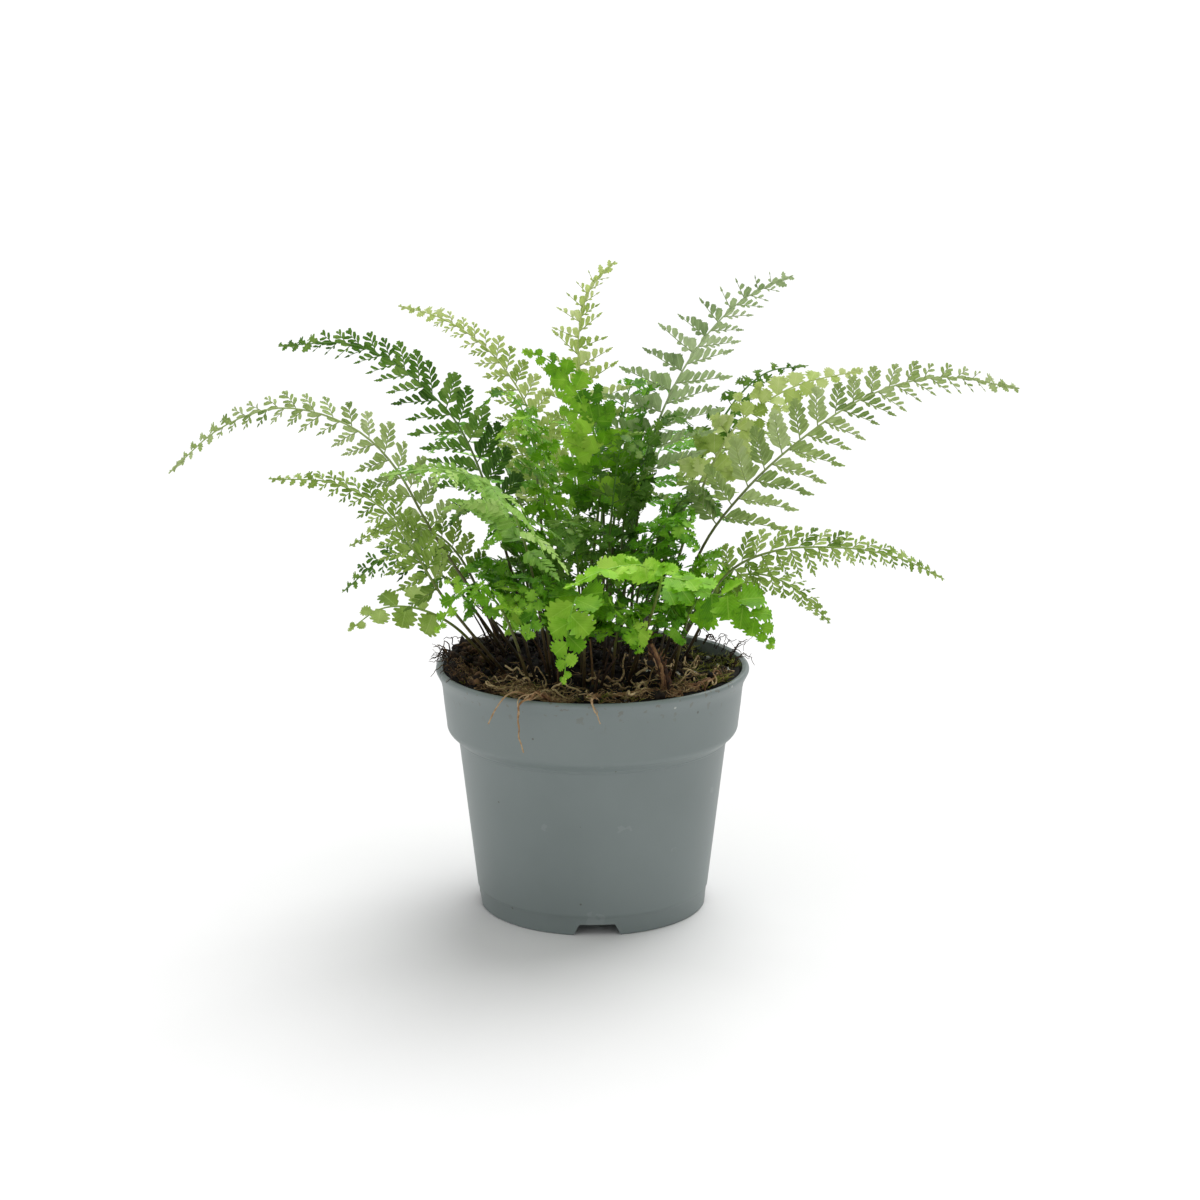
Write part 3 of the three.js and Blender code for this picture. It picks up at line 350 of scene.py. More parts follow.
class MeshParts:
    """Collects closed surfaces, then makes one mesh of them."""

    def __init__(self):
        self.points, self.faces, self.maps, self.tones, self.rims, self.slots = [], [], [], [], [], []
        self.count = 0

    def add(self, points, faces, tone, maps=None, rim=None, slot=0):
        """points (n, 3) in millimetres, faces (m, 3), tone one value or n, maps (n, 2), rim n marks."""
        count = len(points)
        self.points.append(points * MM)
        self.faces.append(faces + self.count)
        self.maps.append(np.zeros((count, 2)) if maps is None else maps)
        self.tones.append(np.broadcast_to(np.asarray(tone, float), (count,)))
        self.rims.append(np.zeros(count, bool) if rim is None else rim)
        self.slots.append(np.full(len(faces), slot))
        self.count += count

    def add_tube(self, centres, radii, sides, tone, slot=0, **form):
        self.add(*tube(centres, radii, sides, **form), tone, slot=slot)

    def build(self, name, materials):
        points, faces = np.vstack(self.points), np.vstack(self.faces)
        mesh = bpy.data.meshes.new(name)
        mesh.vertices.add(len(points))
        mesh.loops.add(faces.size)
        mesh.polygons.add(len(faces))
        for rows, key, values, kind in (
                (mesh.vertices, "co", points, np.float32),
                (mesh.loops, "vertex_index", faces, np.int32),
                (mesh.polygons, "loop_start", np.arange(0, faces.size, 3), np.int32),
                (mesh.polygons, "material_index", np.concatenate(self.slots), np.int32),
                (mesh.polygons, "use_smooth", np.ones(len(faces)), bool)):
            rows.foreach_set(key, values.astype(kind).ravel())
        mesh.update(calc_edges=True)
        edges = np.zeros(len(mesh.edges) * 2, np.int32)
        mesh.edges.foreach_get("vertices", edges)
        rim = np.concatenate(self.rims)[edges.reshape(-1, 2)].all(axis=1)
        mesh.attributes.new("sharp_edge", "BOOLEAN", "EDGE").data.foreach_set("value", rim)
        tones = np.concatenate(self.tones).astype(np.float32)
        mesh.attributes.new("tone", "FLOAT", "POINT").data.foreach_set("value", tones)
        maps = np.vstack(self.maps)[faces.ravel()].astype(np.float32)
        mesh.uv_layers.new(name="blade").data.foreach_set("uv", maps.ravel())
        for material in materials:
            mesh.materials.append(material)
        return placed(name, mesh)


def ring_faces(rings, sides):
    """Triangles that join rings of points one after the other, with a point before and a point after them all."""
    side = np.arange(sides)
    after = (side + 1) % sides
    faces = [(np.zeros(sides, int), 1 + after, 1 + side)]
    last = 1 + (rings - 1) * sides
    for low in range(1, last, sides):
        high = low + sides
        faces += [(low + side, low + after, high + after), (low + side, high + after, high + side)]
    faces.append((last + side, last + after, np.full(sides, last + sides)))
    return np.vstack([np.stack(corners, 1) for corners in faces])


def turns(steps):
    return np.arange(steps) * 2 * pi / steps


def tube(centres, radii, sides, flat=1.0, facing=(0.3, -0.2, 1.0)):
    """A closed round tube along points, with a cap at each end; returns its points and faces."""
    normal, angles, rings = np.array(facing, float), turns(sides), []
    for centre, tangent, radius in zip(centres, unit(np.gradient(centres, axis=0)), radii):
        normal = normal - tangent * (normal @ tangent)
        normal = normal / np.linalg.norm(normal)
        across = np.cross(tangent, normal)
        ring = np.outer(np.cos(angles), across) + np.outer(np.sin(angles) * flat, normal)
        rings.append(centre + ring * radius)
    return np.vstack([centres[:1], *rings, centres[-1:]]), ring_faces(len(centres), sides)


def level_ring(radius, height, steps):
    turn = turns(steps)
    return np.stack([radius * np.sin(turn), radius * np.cos(turn), np.full(steps, height, float)], 1)


def turned(bottom, rings, top):
    """A closed surface of rings round the axis, between the heights of two points on it."""
    points = np.vstack([[[0, 0, bottom]], *rings, [[0, 0, top]]])
    return points, ring_faces(len(rings), len(rings[0]))[:, [0, 2, 1]]


# Blades
def blade_outline(shape, draw):
    """The outline of a blade of length 1 along x, from its foot's left corner round its tip to the right."""
    shift = log(shape["peak"]) / log(0.5)

    def spot(turn, cut):
        """A place on the edge, moved by a share of its way towards the nearest point of the midrib."""
        angle = turn * pi
        power = shape["wedge"] if turn < 0.5 else shape["tip"]
        along = ((1 - cos(angle)) / 2) ** shift
        wide = shape["foot"] * cos(angle / 2) ** 2 + shape["half"] * sin(angle) ** power
        middle = min(SPINE, key=lambda rib: abs(rib - along))
        return along + (middle - along) * cut, wide * (1 - cut)

    def edge():
        spots = [(0.0, shape["foot"]), spot(shape["teeth_from"] * 0.6, 0)]
        step = (TEETH_UNTIL - shape["teeth_from"]) / shape["teeth"]
        for tooth in range(shape["teeth"]):
            start = shape["teeth_from"] + tooth * step
            depth = shape["depth"] * (0.75 + 0.5 * draw())
            spots.append(spot(start, depth))
            spots += [spot(start + share * step, TOOTH_SWELL) for share in TOOTH_CRESTS[shape["crest"]]]
        spots.append(spot(TEETH_UNTIL, 0.6 * shape["depth"]))
        return spots

    left, right = edge(), edge()
    tip = (1.0, 0.02 * (draw() - 0.5))
    return np.array([*left, tip, *[(x, -y) for x, y in reversed(right)]])


def blade_template(shape, draw):
    """A blade as a thin closed lens: both faces share its outline, and each has a midrib of its own."""
    outline = blade_outline(shape, draw)
    count, ribs = len(outline), len(SPINE)
    nearest = np.abs(outline[:, :1] - np.array(SPINE)[None, :]).argmin(axis=1)
    faces = []
    for index in range(count):
        after = (index + 1) % count
        here, there = nearest[index], nearest[after]
        faces.append((index, count + here, after))
        for rib in range(count + min(here, there), count + max(here, there)):
            faces.append((after, rib, rib + 1) if there > here else (after, rib + 1, rib))
    top = np.array(faces)
    bottom = np.where(top >= count, top + ribs, top)[:, ::-1]
    spine = np.column_stack([SPINE, np.zeros(ribs)])
    flat = np.vstack([outline, spine, spine])
    ruffle = np.zeros(len(flat))
    ruffle[1:count - 1:2] = 1
    return {"flat": flat, "lift": np.repeat([0.0, 1.0, -1.0], [count, ribs, ribs]), "ruffle": ruffle,
            "rim": np.arange(len(flat)) < count, "faces": np.vstack([top, bottom])}


def blade_templates():
    found = {}
    for number, (name, shape) in enumerate(BLADE_SHAPES.items()):
        draw = seeded_draw(4001 + number)
        found[name] = [blade_template(shape, draw) for _ in range(BLADE_VARIANTS)]
    return found


class Blades:
    """The blades of one frond, kept as rows until all are known."""

    def __init__(self, templates):
        self.templates, self.rows = templates, {}

    def add(self, kind, variants, *columns):
        """Blades of one kind: origins, ways they grow, normals, lengths, widths, cups, droops and tones."""
        rows = np.column_stack(columns)
        for variant in np.unique(variants):
            self.rows.setdefault((kind, int(variant)), []).append(rows[variants == variant])

    def add_one(self, kind, variants, *facts):
        self.add(kind, variants, *[np.asarray(fact)[None] for fact in facts])

    def write(self, parts):
        for (kind, variant), rows in self.rows.items():
            template = self.templates[kind][variant]
            table = np.vstack(rows)
            origin, along, normal = table[:, None, 0:3], unit(table[:, 3:6]), table[:, 6:9]
            length, width, cup, droop = (table[:, column, None] for column in (9, 10, 11, 12))
            normal = unit(normal - along * (normal * along).sum(axis=1, keepdims=True))
            across = np.cross(normal, along)
            x, y = template["flat"].T
            out, side = x * length, y * width * length
            height = cup * np.abs(side) - droop * x**2 * length
            height += template["lift"] * BLADE_HALF_THICKNESS + template["ruffle"] * cup * BLADE_RUFFLE * length
            points = origin + out[..., None] * along[:, None] + side[..., None] * across[:, None]
            points = points + height[..., None] * normal[:, None]
            count, size = len(table), len(x)
            faces = template["faces"][None] + (np.arange(count) * size)[:, None, None]
            parts.add(points.reshape(-1, 3), faces.reshape(-1, 3), np.repeat(table[:, 13], size),
                      np.tile(template["flat"], (count, 1)), np.tile(template["rim"], count))


# The fronds
def soil_height(x, y):
    height = POT_HEIGHT - SOIL_EDGE_DEPTH
    for mound_x, mound_y, rise, spread in SOIL_MOUNDS:
        height = height + rise * np.exp(-((x - mound_x) ** 2 + (y - mound_y) ** 2) / spread**2)
    rise, across_x, across_y = SOIL_RIPPLE
    return height + rise * np.sin(x / across_x + 1) * np.sin(y / across_y + 2)


def hidden_path(tier, index, draw):
    first, step = tier["azimuth"]
    outward = heading(first + index * step + (draw() - 0.5) * AZIMUTH_JITTER)
    start = outward * tier["root"] * between(ROOT_SPREAD, draw())
    reach = between(tier["reach"], draw())
    rise = between(tier["rise"], draw())
    ground = soil_height(start[0], start[1])
    return [start, *[start + outward * reach * out_share + UP * (ground + rise * rise_share)
                     for out_share, rise_share in (*HIDDEN_ARCH, (1, 1 - tier["fall"]))]]


def plan_frond(points, facing, **facts):
    start = np.array([*points[0][:2], soil_height(*points[0][:2]) + STALK_LIFT])
    path = Path([start, *points[1:]])
    outward = (np.array(points[-1]) - start) * np.array([1, 1, 0])
    tilt = LEAF_TILTS.get(facts["name"], (0, UP)) if facing else HIDDEN_TILT
    if facing is None:
        facing = UP - HIDDEN_LEAN * outward / np.linalg.norm(outward)
    spots = path.point(np.linspace(0, 1, PATH_SAMPLES + 1))
    return {"path": path, "facing": np.array(facing, float), "spots": spots, "tilt": tilt, **facts}


def stands_clear(plan, others):
    gaps = (np.linalg.norm(plan["spots"][:, None] - other["spots"][None], axis=2) for other in others)
    return all(gap.min() > STALK_CLEARANCE for gap in gaps)


def plan_all():
    plans = []
    for name, root, facing, width, blade_from, pinnae, styles, tone, path in LONG_FRONDS:
        plans.append(plan_frond([(*root, 0), *path], facing, name=name, width=width, blade_from=blade_from,
                                pinnae=pinnae, styles=styles, tone=tone))
    for name, tier in HIDDEN_TIERS.items():
        for index in range(tier["count"]):
            draw = seeded_draw(len(plans) * 7919)
            facts = {key: tier[key] for key in ("width", "blade_from", "pinnae", "styles")}
            facts.update(name=f"{name}_{index + 1}", tone=tier["tones"][index % len(tier["tones"])])
            plan = plan_frond(hidden_path(tier, index, draw), None, **facts)
            while not stands_clear(plan, plans):
                plan = plan_frond(hidden_path(tier, index, draw), None, **facts)
            plans.append(plan)
    return plans


def frame_at(plan, share):
    tangent = plan["path"].tangent(share)
    normal = unit(plan["facing"] - tangent * (plan["facing"] @ tangent))
    return tangent, np.cross(tangent, normal), normal


def pinna_length(width, share):
    swell = between((FOOT_SHARE, 1), min(1, share / SWELL_BY))
    return width * (swell * (1 - share) ** LENGTH_POWER + LEAST_LENGTH)


def pinna_shares(count):
    steps = [between(PAIR_SPACING, pair / count) for pair in range(count)]
    ends = np.concatenate([[0], np.cumsum(steps)])
    return ends / ends[-1]


def grow_pinna(blades, parts, style, pinna, rng):
    """One pinna: its thin rib, the pinnules on both sides of it and the blade at its end."""
    origin, along, normal, forward, length, tone = pinna
    bend = forward * style["curl"] * (0.6 + 0.8 * rng.random())
    bend = bend - UP * style["sag"] * (0.4 + 1.2 * rng.random())

    def rib(share):
        share = np.asarray(share, float)[..., None]
        return origin + length * (along * share + bend * share**2)

    def rib_frame(share):
        ahead = unit(along + 2 * bend * np.asarray(share, float)[..., None])
        return ahead, unit(normal - ahead * (ahead @ normal)[..., None])

    def pick(count):
        return rng.integers(0, BLADE_VARIANTS, count)

    if length < style["small_below"]:
        cup, droop = rng.uniform(*BLADE_CUPS), rng.uniform(*BLADE_DROOPS)
        blades.add_one(style["small"], pick(1), origin, along + 0.5 * bend, normal, length,
                       rng.uniform(*BLADE_WIDTHS), cup, droop, tone)
        return
    shares = np.linspace(0, 0.92, 5)
    radii = between(RIB_RADII, shares) * min(1, 0.5 + length / 40)
    parts.add_tube(rib(shares), radii, 4, 0.55, slot=1, facing=normal)
    for sense, (angle, longest, until) in ((1, style["acro"]), (-1, style["basi"])):
        reach = until - style["first"]
        count = max(1, round(length * reach / style["step"]))
        shares = style["first"] + reach * (np.arange(count) + 0.4 * (sense < 0)) / count
        ahead, level = rib_frame(shares)
        side = np.cross(level, ahead)
        side = side * np.where((side @ forward) > 0, 1, -1)[:, None] * sense
        angles = np.radians(angle * (1.08 - 0.3 * shares) + rng.normal(0, 4, count))[:, None]
        alongs = ahead * np.cos(angles) + side * np.sin(angles)
        longest = longest * sqrt(length * LARGE_PINNA)
        lengths = longest * (1 - shares) ** style["taper"] * rng.uniform(0.88, 1.12, count)
        if sense > 0:
            lengths[0] *= 1.12
        normals = level + style["unrest"] * rng.normal(size=(count, 3))
        blades.add(style["blade"], pick(count), rib(shares), alongs, normals, lengths,
                   rng.uniform(*BLADE_WIDTHS, count), rng.uniform(*BLADE_CUPS, count),
                   rng.uniform(*BLADE_DROOPS, count), tone + rng.normal(0, 0.06, count))
    end = style["acro"][2] - 0.05
    blades.add_one(style["end"], pick(1), rib(end), *rib_frame(end), length * (1.03 - end), 1.0, 0.15, 0.1, tone)


def place_pinna(plan, side, share, rng):
    """How a pinna is cut, and its origin, the way it grows, its normal, the frond's way, its length and tone."""
    along_path = between((plan["blade_from"], 1), share)
    tangent, across, normal = frame_at(plan, along_path)
    lift = radians(rng.normal(0, 7))
    outward = across * side * cos(lift) + normal * sin(lift)
    normal = unit(normal - outward * (normal @ outward))
    lower = 0 if outward[2] > 0 else 1
    turn = FORWARD_TURNS.get(plan["name"], (0, 0))[lower]
    forward = radians(between(PINNA_FORWARD, share) + turn + rng.normal(0, 3.5))
    along = outward * cos(forward) + tangent * sin(forward)
    twist = radians(rng.normal(0, 11))
    tilt, towards = plan["tilt"]
    tilt = tilt * rng.uniform(0.2, 1.8)
    level = normal * (1 - tilt) + np.array(towards) * tilt
    level = unit(level - along * (level @ along))
    level = level * cos(twist) + np.cross(along, level) * sin(twist)
    style = PINNA_STYLES[plan["styles"][lower]]
    tone = 0.5 + rng.normal(0, 0.18) + 0.22 * (share - 0.4)
    length = min(pinna_length(plan["width"], share) * style["scale"], style["most"]) * rng.uniform(0.92, 1.08)
    return style, (plan["path"].point(along_path), along, level, tangent, length, tone)


def grow_frond(plan, templates, materials, seed):
    """One frond: its stalk and rib, the pinnae on both sides of it and the blade at its tip."""
    rng = np.random.default_rng(seed + FROND_SEED)
    parts, blades = MeshParts(), Blades(templates)
    path, blade_from = plan["path"], plan["blade_from"]
    shares = np.concatenate([np.linspace(0, blade_from, 14)[:-1], np.linspace(blade_from, 0.985, 26)])
    centres = path.point(shares)
    centres = np.vstack([centres[0] - UP * STALK_SINK, centres])
    shares = np.concatenate([[0], shares])
    radii = np.interp(shares, [0, 0.1, blade_from, 1],
                      [STALK_RADIUS * 1.15, STALK_RADIUS, STALK_RADIUS * 0.86, TAIL_RADIUS])
    tones = np.concatenate([[0], np.repeat(shares, STALK_SIDES), [1]])
    parts.add_tube(centres, radii, STALK_SIDES, tones, slot=1, flat=STALK_FLATNESS,
                   facing=plan["facing"] + np.array([0, -0.01, 0]))
    ends = pinna_shares(plan["pinnae"])
    for side, start in ((-1, 0.12), (1, 0.5)):
        for share in ends[:-1] + np.diff(ends) * start:
            grow_pinna(blades, parts, *place_pinna(plan, side, share, rng), rng)
    tip = path.point(1 - TIP_SHARE)
    blades.add_one("parsley" if plan["styles"][0] in BROAD_STYLES else "saw", np.array([0]), tip,
                   path.point(1.0) - tip, frame_at(plan, 1 - TIP_SHARE)[2], path.length * TIP_SHARE,
                   0.55, 0.1, 0.0, 0.8)
    blades.write(parts)
    piece = parts.build(plan["name"] + "_fine", materials)
    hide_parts(plan["name"])
    return piece


# Materials
class Nodes:
    """A new material with a Principled shader, and the nodes that feed it."""

    def __init__(self, name):
        self.material = bpy.data.materials.new(name)
        self.material.use_nodes = True
        self.tree = self.material.node_tree
        self.shader = self.tree.nodes["Principled BSDF"]

    def fill(self, socket, value):
        """Sets a socket to a number or a colour, or else links it to the output given."""
        if isinstance(value, (int, float, tuple)):
            socket.default_value = value
        else:
            self.tree.links.new(value, socket)

    def node(self, kind, inputs=None, **settings):
        node = self.tree.nodes.new(kind)
        for key, value in settings.items():
            setattr(node, key, value)
        for key, value in (inputs or {}).items():
            self.fill(node.inputs[key], value)
        return node

    def looks(self, **values):
        for key, value in values.items():
            self.fill(self.shader.inputs[key.replace("_", " ")], value)

    def maths(self, operation, *values):
        return self.node("ShaderNodeMath", dict(enumerate(values)), operation=operation).outputs[0]

    def ramp(self, factor, stops):
        """Colours between stops, each of which is a place and three 8-bit screen values."""
        node = self.node("ShaderNodeValToRGB", {0: factor})
        elements = node.color_ramp.elements
        while len(elements) < len(stops):
            elements.new(0.5)
        for element, (place, *colour) in zip(elements, stops):
            element.position = place
            element.color = srgb(*colour)
        return node.outputs[0]

    def mix(self, factor, first, second):
        return self.node("ShaderNodeMix", {0: factor, 6: first, 7: second}, data_type="RGBA").outputs[2]

    def place(self):
        return self.node("ShaderNodeTexCoord").outputs["Object"]

    def noise(self, scale, detail):
        inputs = {"Scale": scale, "Detail": detail, "Vector": self.place()}
        return self.node("ShaderNodeTexNoise", inputs).outputs["Fac"]

    def varied_tone(self, noise, amount):
        """The tone that the mesh carries, varied by a noise."""
        tone = self.node("ShaderNodeAttribute", attribute_name="tone").outputs["Fac"]
        return self.maths("ADD", tone, self.maths("MULTIPLY", self.maths("SUBTRACT", noise, 0.5), amount))

    def bump(self, height, strength, distance=0.0002):
        inputs = {"Strength": strength, "Distance": distance, "Height": height}
        self.looks(Normal=self.node("ShaderNodeBump", inputs).outputs[0])


def leaf_material(name, shadowed, plain, sunlit):
    """Leaf with a paler midrib and forked veins, mottled between three colours, that lets light through."""
    nodes = Nodes("leaf_" + name)
    maths = nodes.maths
    place = nodes.node("ShaderNodeUVMap", uv_map="blade").outputs[0]
    along, across, _ = nodes.node("ShaderNodeSeparateXYZ", {0: place}).outputs
    away = maths("ABSOLUTE", across)
    midrib = maths("MAXIMUM", maths("SUBTRACT", 1.0, maths("MULTIPLY", away, MIDRIB_FADE)), 0.0)
    slanted = maths("SUBTRACT", along, maths("MULTIPLY", away, VEIN_SLANT))
    ripple = maths("SINE", maths("MULTIPLY", slanted, VEIN_RATE))
    vein = maths("POWER", maths("MAXIMUM", ripple, 0.0), 6.0)
    vein = maths("MAXIMUM", maths("MULTIPLY", vein, 0.45), midrib)
    shade = nodes.varied_tone(nodes.noise(190, 3.0), 0.9)
    colour = nodes.ramp(shade, [(0.1, *shadowed), (0.5, *plain), (0.95, *sunlit)])
    paler = srgb(*[min(255, part + 34) for part in sunlit])
    colour = nodes.mix(maths("MULTIPLY", vein, 0.42), colour, paler)
    fine = maths("MULTIPLY", nodes.noise(1500, 2.0), 0.35)
    nodes.bump(maths("ADD", maths("MULTIPLY", vein, -1.0), fine), 0.35)
    nodes.looks(Base_Color=colour, Roughness=0.46, Specular_IOR_Level=0.22)
    glow = nodes.node("ShaderNodeBsdfTranslucent", {"Color": nodes.mix(0.6, colour, srgb(*sunlit))}).outputs[0]
    mixed = nodes.node("ShaderNodeMixShader", {0: 0.42, 1: nodes.shader.outputs[0], 2: glow}).outputs[0]
    nodes.fill(nodes.tree.nodes["Material Output"].inputs[0], mixed)
    return nodes.material


def stalk_material(name, leaf_colour):
    """Stalk: dark brown at its foot, then green, finely mottled."""
    nodes = Nodes("stalk_" + name)
    grain = nodes.noise(420, 2.0)
    green = (int(part * 0.9) for part in leaf_colour)
    stops = [(0.02, 46, 34, 18), (0.16, 72, 62, 28), (0.36, 92, 106, 42), (0.62, *green)]
    nodes.looks(Base_Color=nodes.ramp(nodes.varied_tone(grain, 0.3), stops), Roughness=0.42)
    nodes.bump(grain, 0.3)
    return nodes.material


def earth_material(name):
    scale, roughness, depth, stops = EARTHS[name]
    nodes = Nodes(name)
    colour = nodes.ramp(nodes.varied_tone(nodes.noise(scale, 6.0), 0.9), stops)
    nodes.looks(Base_Color=colour, Roughness=roughness, Specular_IOR_Level=0.3)
    nodes.bump(nodes.noise(scale * 3, 5.0), 0.8, depth)
    return nodes.material


def pot_material():
    """Grey moulded plastic: fine grain, faint flow marks, specks, pale scuffs and compost at the rim."""
    nodes = Nodes("pot_plastic")
    maths = nodes.maths
    cloud = nodes.noise(26, 4.0)
    plastic = nodes.ramp(cloud, [(0.3, 115, 125, 124), (0.7, 121, 131, 130)])
    spot = nodes.node("ShaderNodeTexVoronoi", {"Scale": 230, "Vector": nodes.place()}).outputs
    chance = nodes.node("ShaderNodeSeparateColor", {0: spot["Color"]}).outputs[0]
    dot = maths("LESS_THAN", spot["Distance"], 0.12)
    height = nodes.node("ShaderNodeSeparateXYZ", {0: nodes.place()}).outputs[2]
    near_rim = maths("MULTIPLY", maths("SUBTRACT", height, 0.082), 80.0)
    near_rim = maths("MINIMUM", maths("MAXIMUM", near_rim, 0.0), 1.0)
    dirt = maths("MULTIPLY", maths("GREATER_THAN", nodes.noise(340, 4.0), 0.64), near_rim)
    for mask, strength, colour in (
            (maths("GREATER_THAN", nodes.noise(75, 9.0), 0.69), 0.1, (176, 182, 182)),
            (maths("MULTIPLY", dot, maths("GREATER_THAN", chance, 0.965)), 0.6, (70, 64, 56)),
            (maths("MULTIPLY", dot, maths("LESS_THAN", chance, 0.02)), 0.6, (196, 198, 192)),
            (dirt, 0.5, (96, 82, 64))):
        plastic = nodes.mix(maths("MULTIPLY", mask, strength), plastic, srgb(*colour))
    rough = maths("ADD", 0.36, maths("MULTIPLY", cloud, 0.16))
    nodes.looks(Base_Color=plastic, Roughness=rough, Specular_IOR_Level=0.5)
    nodes.bump(maths("ADD", nodes.noise(2600, 2.0), maths("MULTIPLY", nodes.noise(90, 2.0), 1.5)), 0.12)
    return nodes.material


def floor_material():
    nodes = Nodes("floor_paper")
    colour = nodes.ramp(nodes.noise(3.0, 2.0), [(0.2, 230, 230, 230), (0.8, 234, 234, 234)])
    nodes.looks(Base_Color=colour, Roughness=0.8, Specular_IOR_Level=0.1)
    return nodes.material


# The pot
def arc(centre, radius, start, end, steps):
    """Points of an arc round (radius, height), between two angles in degrees."""
    angles = np.radians(np.linspace(start, end, steps))
    return [(centre[0] + radius * cos(a), centre[1] + radius * sin(a)) for a in angles]


def shifted(radius, height, *steps):
    return [(radius + out, height + up) for out, up in steps]


def pot_profile():
    """The pot's wall in section, as radii and heights from the underside round the lip to the inner floor."""
    foot_inner = BASE_RADIUS - 2.4
    foot_top = (BASE_RADIUS + 1.05, 8.6)
    body = [between((np.array(foot_top), np.array(BODY_TOP)), share) for share in (0.25, 0.5, 0.75)]
    return [
        (0, FLOOR_UNDERSIDE), *shifted(foot_inner, FLOOR_UNDERSIDE, (-0.6, 0), (0, -0.6)),
        *shifted(foot_inner, 0, (0, 0.4), (0.4, 0)),
        *shifted(BASE_RADIUS, 0, (-0.5, 0), (0, 0.5), (0.45, 6.9), (0.72, 7.4), (0.95, 7.7)), foot_top, *body,
        *shifted(*BODY_TOP, (-0.1, -1.2), (0.1, -0.5), (0.5, -0.3), (0.75, 0), (0.8, 0.4)),
        *arc((COLLAR_BOTTOM[0] - 4.2, COLLAR_BOTTOM[1]), 4.2, -62, 4, 8), *shifted(*COLLAR_BOTTOM, (0.9, 8)),
        *shifted(*COLLAR_TOP, (-0.35, -4), (0.2, -1.6), (0.95, -0.1)),
        *arc((LIP_RADIUS - LIP_ROUND, POT_HEIGHT - LIP_ROUND), LIP_ROUND, -30, 105, 8),
        (LIP_RADIUS - 2.6, POT_HEIGHT - 0.5), (COLLAR_TOP[0] - WALL, COLLAR_TOP[1]),
        *shifted(*COLLAR_BOTTOM, (-WALL, 0.4)), *shifted(*BODY_TOP, (-WALL, 0)),
        *shifted(INNER_FLOOR_RADIUS, FLOOR_TOP, (0, 0.8), (-0.8, 0)), (0, FLOOR_TOP),
    ]


def cutter_object(name, outline, depth, place, turn):
    """A prism of an outline in the XZ plane, put in place to cut the pot."""
    mesh = bmesh.new()
    front = [mesh.verts.new((x * MM, -depth / 2 * MM, z * MM)) for x, z in outline]
    mesh.faces.new(front)
    pulled = bmesh.ops.extrude_face_region(mesh, geom=mesh.faces[:])
    back = [item for item in pulled["geom"] if isinstance(item, bmesh.types.BMVert)]
    bmesh.ops.translate(mesh, vec=(0, depth * MM, 0), verts=back)
    bmesh.ops.recalc_face_normals(mesh, faces=mesh.faces[:])
    data = bpy.data.meshes.new(name)
    mesh.to_mesh(data)
    mesh.free()
    cutter = placed(name, data)
    cutter.location, cutter.rotation_euler = place, turn
    return cutter


def cut_away(piece, cutters):
    for cutter in cutters:
        change = piece.modifiers.new("cut", "BOOLEAN")
        change.operation = "DIFFERENCE"
        change.solver = "EXACT"
        change.object = cutter
    bpy.context.view_layer.update()
    graph = bpy.context.evaluated_depsgraph_get()
    finished = bpy.data.meshes.new_from_object(piece.evaluated_get(graph))
    piece.modifiers.clear()
    piece.data = finished
    for cutter in cutters:
        bpy.data.objects.remove(cutter)


def make_pot():
    parts = MeshParts()
    bottom, *profile, top = pot_profile()
    parts.add(*turned(bottom[1], [level_ring(*spot, POT_STEPS) for spot in profile], top[1]), 0.5)
    pot = parts.build("pot_fine", [pot_material()])
    half, level = NOTCH_WIDTH / 2, NOTCH_HEIGHT - NOTCH_CORNER
    notch = [(half + 0.6, -1), *arc((half - NOTCH_SLOPE - NOTCH_CORNER, level), NOTCH_CORNER, 15, 90, 6),
             *arc((NOTCH_CORNER + NOTCH_SLOPE - half, level), NOTCH_CORNER, 90, 165, 6), (-half - 0.6, -1)]
    hole = arc((0, 0), DRAIN_HOLE_RADIUS, 0, 345, 24)
    foot, distance, cutters = BASE_RADIUS * MM, DRAIN_HOLE_DISTANCE * MM, []
    for index in range(4):
        angle = index * pi / 2 + radians(NOTCH_TURN)
        place = (foot * sin(angle), -foot * cos(angle), 0)
        cutters.append(cutter_object(f"notch_{index}", notch, 10, place, (0, 0, angle)))
        angle = (index + 0.5) * pi / 2
        place = (distance * cos(angle), distance * sin(angle), FLOOR_TOP * MM)
        cutters.append(cutter_object(f"drain_{index}", hole, 8, place, (pi / 2, 0, 0)))
    cut_away(pot, cutters)
    pot.data.set_sharp_from_angle(angle=radians(32))
    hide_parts("pot")
    return pot


# The compost
def pot_inner_radius(height):
    body = (height - FLOOR_TOP) / (BODY_TOP[1] - FLOOR_TOP)
    collar = (height - COLLAR_BOTTOM[1]) / (COLLAR_TOP[1] - COLLAR_BOTTOM[1])
    low = between((INNER_FLOOR_RADIUS, BODY_TOP[0] - WALL), body)
    high = between((COLLAR_BOTTOM[0] - WALL, COLLAR_TOP[0] - WALL), collar)
    return np.where(body < 1, low, high)


def rough_height(x, y, radius):
    """The compost's finer surface: lumps and pits that die away at the pot's wall."""
    place = Vector((x * 0.11, y * 0.11, 3.7))
    lumps = noise.fractal(place, 0.9, 2.1, 5) * 2.3
    pits = noise.noise(place * 4.3) * 0.9
    return float(soil_height(x, y)) + heaped(radius) + (lumps + pits) * min(1.0, (57 - radius) / 6) - 0.4


def surface_height(x, y):
    return rough_height(x, y, hypot(x, y))


def heaped(radius):
    """How much higher the compost stands near the wall, where it is pressed up against the lip."""
    share = min(1.0, max(0.0, (radius - 42) / 10))
    return RIM_HEAP * share * share * (3 - 2 * share)


